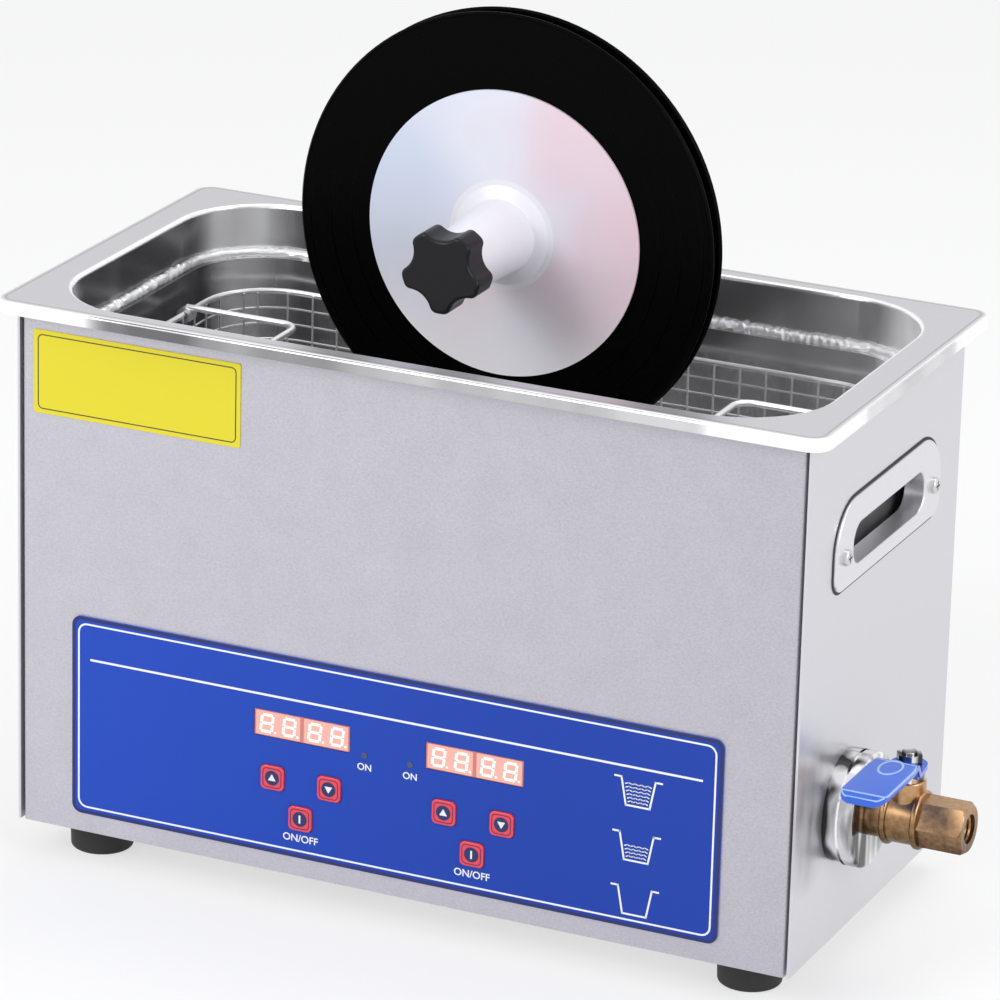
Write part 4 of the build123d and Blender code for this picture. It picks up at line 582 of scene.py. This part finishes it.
def buildBead():
    s = metres(beadSizes, "rise", "fineShare")
    halfX, halfY, corner = (length - s["inset"] for length in tankMouth)
    bm = bmesh.new()
    roundedRing(bm, (halfX, halfY), corner, s["ledge"] + s["diameter"] * s["rise"], s["diameter"], 12, 40)
    bmesh.ops.remove_doubles(bm, verts=bm.verts, dist=0.001 * mm)
    for least, cuts in beadCuts:
        straight = [e for e in bm.edges if e.calc_length() > least * mm]
        bmesh.ops.subdivide_edges(bm, edges=straight, cuts=cuts, use_grid_fill=True)
    bm.normal_update()
    for v in bm.verts:
        lump = noise.noise(v.co / s["lumpSize"]) + s["fineShare"] * noise.noise(v.co / s["fineSize"])
        v.co += v.normal * lump * s["lumps"]
    bead = plainFinish("weldBead", (0.95, 0.95, 0.96), 0.34, 0.4, 0.8, 0.12)
    finishPiece(bm, "ledgeBead", "cabinet", "tank_steel", material=bead, sharp=60)


buildBead()
print("weld bead laid")


# control panel: printed lines, level signs, words and display digits
inkWhite = plainFinish("inkWhite", (0.86, 0.87, 0.90), 0.45)
inkNavy = plainFinish("inkNavy", (0.010, 0.018, 0.11), 0.40)
ledDark = plainFinish("ledDark", (0.03, 0.045, 0.16), 0.25, Coat_Weight=0.6)
panelSizes = {"borderInset": 2.6, "borderLine": 0.75, "corner": 4.0, "edgeInset": 0.15, "edgeLine": 1.3,
              "edgeCorner": 3.8, "titleZ": 73.4, "titleFrom": -132.0, "titleTo": 127.0, "titleLine": 0.9,
              "ink": 0.06}


def frontOf(node):
    # the middle of a node's front face, sunk by a hair
    middle = middleOf(node)
    return Vector((middle.x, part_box(node)[0].y + 0.01 * mm, middle.z))


def panelPlace(x, z):
    # a place on the panel's face, from millimetres across and up
    return Vector((x * mm, frontOf("control_overlay").y, z * mm))


def addBorder(bm, node, inset, corner, ink, line):
    # a printed frame along the outline of a node's front face
    size = sizeOf(node)
    addPlate(bm, frontOf(node), (size.x - 2 * inset, size.z - 2 * inset), corner, ink, line)


def buildPanelLines():
    s, bm = panelSizes, bmesh.new()
    addBorder(bm, "control_overlay", s["borderInset"], s["corner"], s["ink"], s["borderLine"])
    addBar(bm, (s["titleFrom"], s["titleZ"]), (s["titleTo"], s["titleZ"]), s["titleLine"], s["ink"],
           centre=panelPlace(0, 0))
    finishPiece(bm, "panelLines", "cabinet", "overlay_blue", material=inkWhite)
    bm = bmesh.new()
    addBorder(bm, "control_overlay", s["edgeInset"], s["edgeCorner"], s["ink"], s["edgeLine"])
    finishPiece(bm, "panelEdge", "cabinet", "overlay_blue", material=inkNavy)


signSizes = {"x": 101.4, "heights": (63.7, 41.4, 19.3), "waves": (6, 4, 0), "line": 0.75, "topHalf": 9.6,
             "mouthHalf": 7.0, "baseHalf": 4.9, "rise": 5.2, "drop": 6.0, "waveStep": 1.45, "waveLift": 0.2,
             "waveLine": 0.4125, "waveGap": 1.2, "swing": 0.25, "bends": 8}


def buildLevelSigns():
    # three tanks, each with its rows of wavy water; the lowest is empty
    s, bm = signSizes, bmesh.new()
    tank = [(-s["topHalf"], s["rise"]), (-s["mouthHalf"], s["rise"]), (-s["baseHalf"], -s["drop"]),
            (s["baseHalf"], -s["drop"]), (s["mouthHalf"], s["rise"]), (s["topHalf"], s["rise"])]
    for z, waves in zip(s["heights"], s["waves"]):
        lines = [(tank, s["line"])]
        for i in range(1, waves + 1):
            level = i * s["waveStep"] + s["waveLift"] - s["drop"]
            reach = s["baseHalf"] + (s["mouthHalf"] - s["baseHalf"]) * i / 8 - s["waveGap"]
            wave = [(reach * (2 * k / s["bends"] - 1), level + (s["swing"] if k % 2 else -s["swing"]))
                    for k in range(s["bends"] + 1)]
            lines.append((wave, s["waveLine"]))
        for places, width in lines:
            for first, last in zip(places, places[1:]):
                addBar(bm, first, last, width, panelSizes["ink"], centre=panelPlace(s["x"], z))
    finishPiece(bm, "levelSigns", "cabinet", "overlay_blue", material=inkWhite)


wordSizes = {"keyText": 3.1, "keyDrop": 8.6, "lampText": 2.9, "lampDrop": 5.0, "scale": 1.35, "swell": 0.06}
lampSizes = {"aside": 27.0, "z": 56.4, "across": 2.6, "thick": 0.25}


def buildWords():
    # the only words: ON/OFF under the two start keys, and ON under the two lamps
    for name, node in (("wordHeat", "key_heat"), ("wordStart", "key_start")):
        key = middleOf(node) / mm
        addWords(name, "ON/OFF", (key.x, key.z - wordSizes["keyDrop"]), wordSizes["keyText"])
    s, bm = lampSizes, bmesh.new()
    for name, node, side in (("wordLampA", "temperature_display", 1), ("wordLampB", "timer_display", -1)):
        x = middleOf(node).x / mm + side * s["aside"]
        addWords(name, "ON", (x, s["z"] - wordSizes["lampDrop"]), wordSizes["lampText"])
        addDisc(bm, panelPlace(x, s["z"]), s["across"], s["thick"], 8)
    finishPiece(bm, "panelLamps", "cabinet", "overlay_blue", material=ledDark)


def addWords(name, text, place, height):
    curve = bpy.data.curves.new(name, "FONT")
    curve.body, curve.size = text, height * mm * wordSizes["scale"]
    curve.align_x, curve.align_y = "CENTER", "CENTER"
    curve.extrude, curve.offset = panelSizes["ink"] * mm / 2, wordSizes["swell"] * mm
    words = bpy.data.objects.new(name + "Curve", curve)
    mesh = bpy.data.meshes.new_from_object(words)
    bpy.data.objects.remove(words)
    mesh.transform(Matrix.Translation(panelPlace(*place)) @ frontTurn)
    bm = bmesh.new()
    bm.from_mesh(mesh)
    bpy.data.meshes.remove(mesh)
    finishPiece(bm, name, "cabinet", "overlay_blue", material=inkWhite)


digitSizes = {"z": 61.6, "width": 5.9, "height": 8.0, "stroke": 1.15, "trim": 0.75, "lean": 6.0, "pitch": 9.6,
              "gap": 1.4, "window": 9.9, "windowGap": 0.2, "windowCorner": 0.5, "dotAside": 1.2, "ink": 0.05}
glowWindow = plainFinish("glowWindow", (0.80, 0.36, 0.30), 0.30, Coat_Weight=0.4,
                         Emission_Color=(1.0, 0.45, 0.36, 1), Emission_Strength=0.22)
glowDigit = plainFinish("glowDigit", (0.90, 0.84, 0.80), 0.35, Emission_Color=(1.0, 0.93, 0.88, 1),
                        Emission_Strength=0.25)


def buildDigits(node, name):
    # two lit windows, each with two leaning digits and their dots
    d, front = digitSizes, frontOf(node)
    w, h, trim = (d["width"] - d["stroke"]) / 2, (d["height"] - d["stroke"]) / 2, d["stroke"] * d["trim"]
    strokes = [((-w + trim, y), (w - trim, y)) for y in (-h, 0, h)]
    strokes += [((x, y + trim), (x, y + h - trim)) for x in (-w, w) for y in (-h, 0)]
    lean = math.tan(math.radians(d["lean"]))
    leaning = [[(x + y * lean, y) for x, y in stroke] for stroke in strokes]
    windows, digits = bmesh.new(), bmesh.new()
    for pair in (-1, 1):
        middle = front.x / mm + pair * (d["pitch"] + d["gap"] / 2)
        at = Vector((middle * mm, front.y, d["z"] * mm))
        addPlate(windows, at, (2 * d["pitch"] - d["windowGap"], d["window"]), d["windowCorner"], d["ink"])
        for side in (-0.5, 0.5):
            at = Vector(((middle + side * d["pitch"]) * mm, front.y - 0.04 * mm, d["z"] * mm))
            for first, last in leaning:
                addBar(digits, first, last, d["stroke"], d["ink"], centre=at)
            dot = w + d["dotAside"]
            addBar(digits, (dot, -h), (dot + 0.05, -h), d["stroke"] * 0.8, d["ink"], centre=at)
    finishPiece(windows, name + "Window", "cabinet", "display_red", material=glowWindow)
    finishPiece(digits, name + "Digits", "cabinet", "display_red", material=glowDigit)


buildPanelLines()
buildLevelSigns()
buildWords()
buildDigits("temperature_display", "temperature")
buildDigits("timer_display", "timer")
print("panel printed")


# keys: a dark disc in a thin frame, and on it an arrow of short rows or a bar
keySigns = {"disc": 6.1, "discInk": 0.06, "frame": 8.2, "frameCorner": 1.8, "frameLine": 0.35, "frameInk": 0.05,
            "sign": 1.5, "inset": 0.2, "bar": 0.75, "rows": 6, "row": 0.44, "rowStep": 0.42, "rowDrop": 0.9,
            "ink": 0.04}


def buildKeySigns():
    k = keySigns
    for node in [n for n in frame["nodes"] if n.startswith("key_")]:
        centre = frontOf(node)
        bm = bmesh.new()
        addDisc(bm, centre, k["disc"], k["discInk"], 10)
        addPlate(bm, centre, (k["frame"], k["frame"]), k["frameCorner"], k["frameInk"], k["frameLine"])
        finishPiece(bm, node + "_disc", node + "_body", "key_red", material=inkNavy)
        bm = bmesh.new()
        above, reach = centre - axisY * k["discInk"] * mm, k["sign"] - k["inset"]
        if "up" in node or "down" in node:
            turn = 1 if "up" in node else -1
            for i in range(k["rows"]):
                reach = k["sign"] * (1 - i / k["rows"]) - k["inset"]
                level = turn * (i * k["rowStep"] - k["rowDrop"])
                addBar(bm, (-reach, level), (reach, level), k["row"], k["ink"], centre=above)
        else:
            addBar(bm, (0, -reach), (0, reach), k["bar"], k["ink"], centre=above)
        finishPiece(bm, node + "_sign", node + "_body", "key_red", material=inkWhite)


buildKeySigns()
print("key signs printed")


# label plate: only its border line
inkDark = plainFinish("inkDark", (0.05, 0.045, 0.03), 0.5)
labelSizes = {"inset": 1.7, "line": 0.45, "corner": 2.2, "ink": 0.05}


def buildLabelBorder():
    s, bm = labelSizes, bmesh.new()
    addBorder(bm, "label_plate", s["inset"], s["corner"], s["ink"], s["line"])
    finishPiece(bm, "labelBorder", "cabinet", "label_yellow", material=inkDark)


buildLabelBorder()
print("label bordered")


# drain valve: wound thread in the outlet, and the dipped grip on the lever
threadSizes = {"radius": 5.72, "pitch": 1.34, "ridge": 0.6, "inset": 0.6, "turns": 8, "steps": 30}


def buildThread():
    s = metres(threadSizes, "turns", "steps")
    middle, mouth = middleOf("valve_end"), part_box("valve_end")[1].x
    start = Vector((mouth - s["inset"], middle.y, middle.z))
    pitch, radius, steps = s["pitch"], s["radius"], s["steps"]
    bm = bmesh.new()
    corners = [(0, radius), (-0.45 * pitch, radius - s["ridge"]), (-0.9 * pitch, radius)]
    verts = [bm.verts.new(start + axisX * a + axisZ * r) for a, r in corners]
    ring = [bm.edges.new(pair) for pair in zip(verts, verts[1:] + verts[:1])]
    bm.faces.new(verts)
    made = bmesh.ops.spin(bm, geom=verts + ring, cent=start, axis=axisX, dvec=-axisX * pitch / steps,
                          angle=2 * math.pi * s["turns"], steps=s["turns"] * steps)
    last = [g for g in made["geom_last"] if isinstance(g, bmesh.types.BMEdge)]
    bmesh.ops.contextual_create(bm, geom=last)
    finishPiece(bm, "outletThread", "cabinet", "fitting_brass", sharp=50)


# pale blue of the painted highlight on the lever's upper edges and its oval line
gripHighlight = plainFinish("gripHighlight", (0.30, 0.46, 0.84), 0.22, Coat_Weight=0.5)
gripSizes = {"coat": 0.45, "lever": 2.0, "stem": 7.0, "from": 8.6, "drop": 5.0, "lean": 0.5, "neck": 7.0,
             "paddle": 9.4, "flare": 1.8, "corner": 6.0, "square": 0.42, "nose": 3.0, "noseTop": 1.2,
             "noseFoot": 3.9, "round": 0.6}
gripCuts = {"paddle": (2.0, 6.0, 14.0), "corner": (0.03, 0.1, 0.22, 0.38, 0.58, 0.8, 1.0)}
ovalSizes = {"from": 20.0, "across": 4.2, "along": 7.0, "line": 0.9, "flat": 0.6}


def buildGrip():
    # the coating follows the lever from its crank to its tip, a little thicker all round
    low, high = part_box("valve_lever")
    g = metres(gripSizes, "flare", "square")
    stem = Vector(((low.x + high.x) / 2, high.y - g["stem"], 0))
    top, under = high.z + g["coat"] / 2, high.z - g["lever"] - g["coat"]
    crank, tip = stem.y - g["from"], low.y - g["coat"]
    bend, nose = crank - g["drop"], tip + g["nose"]
    profile = [(crank, top - g["drop"]), (bend, top), (nose, top), (tip, top - g["noseTop"]),
               (tip, top - g["noseFoot"]), (nose, under), (bend - g["lean"], under),
               (crank - g["lean"], under - g["drop"])]
    bm = bmesh.new()
    bm.faces.new([bm.verts.new((stem.x, y, z)) for y, z in profile])
    cuts = {y for y, z in profile} | {bend - step * mm for step in gripCuts["paddle"]}
    cuts |= {tip + g["corner"] * part for part in gripCuts["corner"]}
    for y in sorted(cuts):
        bmesh.ops.bisect_plane(bm, geom=bm.verts[:] + bm.edges[:] + bm.faces[:], plane_co=(0, y, 0),
                               plane_no=axisY)
    made = bmesh.ops.extrude_face_region(bm, geom=bm.faces[:])
    bmesh.ops.translate(bm, verts=vertsOf(made["geom"]), vec=axisX * mm)
    for v in bm.verts:
        side = 1 if v.co.x > stem.x + mm / 2 else -1
        along = min(max((crank - v.co.y) / (g["flare"] * g["drop"]), 0), 1)
        back = 1 - min(max((v.co.y - tip) / g["corner"], 0), 1)
        half = g["neck"] + (g["paddle"] - g["neck"]) * along
        v.co.x = stem.x + side * (half - g["square"] * g["paddle"] * (1 - math.sqrt(1 - back ** 2)))
    bmesh.ops.recalc_face_normals(bm, faces=bm.faces)
    outline = [e for e in bm.edges if e.is_manifold and e.calc_face_angle() > math.radians(50)]
    made = bmesh.ops.bevel(bm, geom=outline, offset=g["round"], segments=3, affect="EDGES", profile=0.5,
                           material=-1)
    # painted highlight: the upward-facing bevel faces take the pale blue
    for face in made["faces"]:
        face.normal_update()
        face.material_index = int(face.normal.z > 0.25)  # the pale edge is seen from above only
    finishPiece(bm, "leverGrip", "valve", "lever_blue", sharp=50, trim=gripHighlight)
    buildOval(Vector((stem.x, stem.y, top)))


def buildOval(stemTop):
    # a raised oval line on the paddle, in the pale blue of the painted highlight
    s, bm = metres(ovalSizes, "flat"), bmesh.new()
    centre = stemTop - axisY * s["from"]
    start = Matrix.Translation(centre + axisX * s["across"]) @ frontTurn
    bmesh.ops.create_circle(bm, segments=8, radius=s["line"] / 2, matrix=start)
    bmesh.ops.spin(bm, geom=bm.verts[:] + bm.edges[:], cent=centre, axis=axisZ, angle=2 * math.pi, steps=40,
                   use_merge=True)
    stretch = Matrix.Translation(centre) @ Matrix.Diagonal((1, s["along"] / s["across"], s["flat"], 1))
    bmesh.ops.transform(bm, matrix=stretch @ Matrix.Translation(-centre), verts=bm.verts)
    finishPiece(bm, "gripOval", "valve", "lever_blue", material=gripHighlight)


buildThread()
buildGrip()
print("valve dressed")


# screws of the fan, the motor cover and the feet
screwSizes = {"fanPitch": 50.0, "fanHead": 5.6, "fanHeight": 1.8, "coverInset": 7.0, "coverHead": 5.8,
              "coverHeight": 1.6, "coverSink": 1.0, "footRadius": 13.0, "footHead": 8.6, "footHeight": 2.6,
              "footSink": 8.0}


def setScrews(name, body, places, axis, diameter, height):
    bm = bmesh.new()
    for place in places:
        panHead(bm, Vector(place), axis, diameter, height)
    finishPiece(bm, name, body, "screw_steel")


def buildScrews():
    s, signs = screwSizes, [(a, b) for a in (-1, 1) for b in (-1, 1)]
    centre, half, y = middleOf("fan_frame"), s["fanPitch"] / 2 * mm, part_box("body_shell")[1].y
    places = [(centre.x + a * half, y, centre.z + b * half) for a, b in signs]
    setScrews("fanScrews", "cabinet", places, axisY, s["fanHead"], s["fanHeight"])
    centre, half = middleOf("motor_cover"), (sizeOf("motor_cover").x / 2 - s["coverInset"]) * mm
    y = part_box("motor_case")[0].y - s["coverSink"] * mm
    places = [(centre.x + a * half, y, centre.z + b * half) for a, b in signs]
    setScrews("coverScrews", "slider", places, -axisY, s["coverHead"], s["coverHeight"])
    low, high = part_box("feet")
    radius, z = s["footRadius"] * mm, low.z + s["footSink"] * mm
    places = [(x, y, z) for x in (low.x + radius, high.x - radius) for y in (low.y + radius, high.y - radius)]
    setScrews("footScrews", "cabinet", places, -axisZ, s["footHead"], s["footHeight"])


buildScrews()
print("screws set")


# power switch: a ring and a bar on the two slopes of its rocker
markSizes = {"bar": 3.4, "ring": 3.6, "line": 0.6, "ink": 0.08, "rise": 3.1, "hinge": 80.0, "face": 3.9}
rockerTurns = {"tilt": 8.0, "slope": 16.0}


def buildSwitchMarks():
    m, middle = markSizes, middleOf("switch_rocker")
    tilt, slope = (math.radians(rockerTurns[name]) for name in ("tilt", "slope"))
    hinge = Matrix.Translation((middle.x, m["hinge"] * mm, middle.z)) @ Matrix.Rotation(tilt, 4, "X")
    back = Matrix.Rotation(math.radians(180), 4, "Z") @ frontTurn
    bm = bmesh.new()
    for side in (1, -1):
        lift = hinge @ Matrix.Translation((0, m["face"] * mm, side * m["rise"] * mm))
        place = lift @ Matrix.Rotation(side * slope, 4, "X") @ back
        if side > 0:
            addDisc(bm, zero, m["ring"], m["ink"], 10, m["line"], place)
        else:
            reach = (m["bar"] - m["line"]) / 2
            addBar(bm, (0, -reach), (0, reach), m["line"], m["ink"], place)
    finishPiece(bm, "switchMarks", "rocker", "rocker_red", material=inkWhite)


# handles: a thin dark rim behind each bezel, a dark sheet that stands in as painted shade along its edge
bezelShadeSizes = {"reach": 1.1, "thick": 0.25, "topCorner": 19.0, "bottomCorner": 7.0}


def buildBezelShades():
    g, wall = metres(bezelShadeSizes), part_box("body_shell")
    for name, node, face, side in (("bezelShadeLeft", "handle_left", wall[0].x, -1),
                                   ("bezelShadeRight", "handle_right", wall[1].x, 1)):
        middle, size = middleOf(node), sizeOf(node) * mm
        bm = flatPlate(size.y + 2 * g["reach"], size.z + 2 * g["reach"])
        upper, lower = [v for v in bm.verts if v.co.y > 0], [v for v in bm.verts if v.co.y < 0]
        roundCorners(bm, upper, g["topCorner"] + g["reach"], 10)
        roundCorners(bm, lower, g["bottomCorner"] + g["reach"], 10)
        keepBorder(bm, 2 * g["reach"])
        stand = Matrix.Rotation(math.radians(90 * side), 4, "Z") @ frontTurn
        standPlate(bm, g["thick"], Matrix.Translation((face, middle.y, middle.z)) @ stand)
        finishPiece(bm, name, "cabinet", "foot_rubber")


buildSwitchMarks()
buildBezelShades()
print("small parts set")


# camera, light and floor
cameraPlace = {"azimuth": 24.33, "elevation": 19.78, "roll": 1.52, "distance": 2.356, "across": 0.0075,
               "up": 0.1290, "lens": 213.2}


def setCamera():
    c = cameraPlace
    azimuth, elevation, roll = (math.radians(c[name]) for name in ("azimuth", "elevation", "roll"))
    back = Vector((math.sin(azimuth) * math.cos(elevation), -math.cos(azimuth) * math.cos(elevation),
                   math.sin(elevation)))
    right = (-back).cross(axisZ).normalized()
    upward = right.cross(-back)
    right, upward = (math.cos(roll) * right + math.sin(roll) * upward,
                     math.cos(roll) * upward - math.sin(roll) * right)
    data = bpy.data.cameras.new("camera")
    data.sensor_width, data.lens, data.clip_start, data.clip_end = 36, c["lens"], 0.01, 100
    camera = bpy.data.objects.new("camera", data)
    place = right * c["across"] + upward * c["up"] + back * c["distance"]
    camera.matrix_world = Matrix.Translation(place) @ Matrix((right, upward, back)).transposed().to_4x4()
    bpy.context.scene.collection.objects.link(camera)
    bpy.context.scene.camera = camera


lampAim = Vector((0, 0, 0.1))
lampPlaces = {"lampFront": ((-1.2, -2.0, 1.6), (1.2, 1.2), 32),  # place, size in metres and power in watts
              "lampSide": ((2.2, -0.5, 1.3), (1.0, 1.4), 22),
              "lampTop": ((0.2, 0.6, 2.2), (1.6, 1.0), 13)}


def addLamp(name, place, size, power):
    data = bpy.data.lights.new(name, "AREA")
    data.shape, data.size, data.size_y, data.energy = "RECTANGLE", size[0], size[1], power
    lamp = bpy.data.objects.new(name, data)
    lamp.rotation_mode = "QUATERNION"
    lamp.location = place
    lamp.rotation_quaternion = (Vector(place) - lampAim).to_track_quat("Z", "Y")
    bpy.context.scene.collection.objects.link(lamp)


def showWhite(wire, output, share, lit, white):
    # what the camera and mirrors see is whitened by this share; the light on the object stays
    rays = [wire.add("LightPath", out=name) for name in ("Is Camera Ray", "Is Glossy Ray", "Is Transmission Ray")]
    seen = wire.maths("MINIMUM", rays[0] + rays[1] + rays[2], 1.0)
    both = wire.add("MixShader", None, {0: seen * share, 1: lit, 2: white})
    wire.tree.links.new(both.out, wire.tree.nodes[output].inputs["Surface"])


def setStage():
    world = bpy.data.worlds.new("studio")
    bpy.context.scene.world = world
    world.use_nodes = True
    wire = Wire(world.node_tree)
    soft = wire.add("Background", None, {"Color": (0.95, 0.96, 1.0, 1), "Strength": 0.55})
    white = wire.add("Background", None, {"Color": (1, 1, 1, 1), "Strength": 1.0})
    showWhite(wire, "World Output", 1.0, soft, white)
    material, wire = newFinish("paleFloor", (0.9, 0.9, 0.9), 0.9)[:2]
    lit = Wire(wire.tree, wire.tree.nodes["Principled BSDF"].outputs[0])
    glow = wire.add("Emission", None, {"Color": (1, 1, 1, 1), "Strength": 1.0})
    showWhite(wire, "Material Output", 0.6, lit, glow)
    bm = bmesh.new()
    ground = Matrix.Translation((0, 0, cadBox[0].z))
    bmesh.ops.create_grid(bm, x_segments=1, y_segments=1, size=12, matrix=ground)
    mesh = bpy.data.meshes.new("floor")
    bm.to_mesh(mesh)
    bm.free()
    mesh.materials.append(material)
    floor = bpy.data.objects.new("floor", mesh)
    bpy.context.scene.collection.objects.link(floor)
    for name, (place, size, power) in lampPlaces.items():
        addLamp(name, place, size, power)


setCamera()
setStage()
bpy.context.scene.view_settings.view_transform = "Standard"
print("stage set")
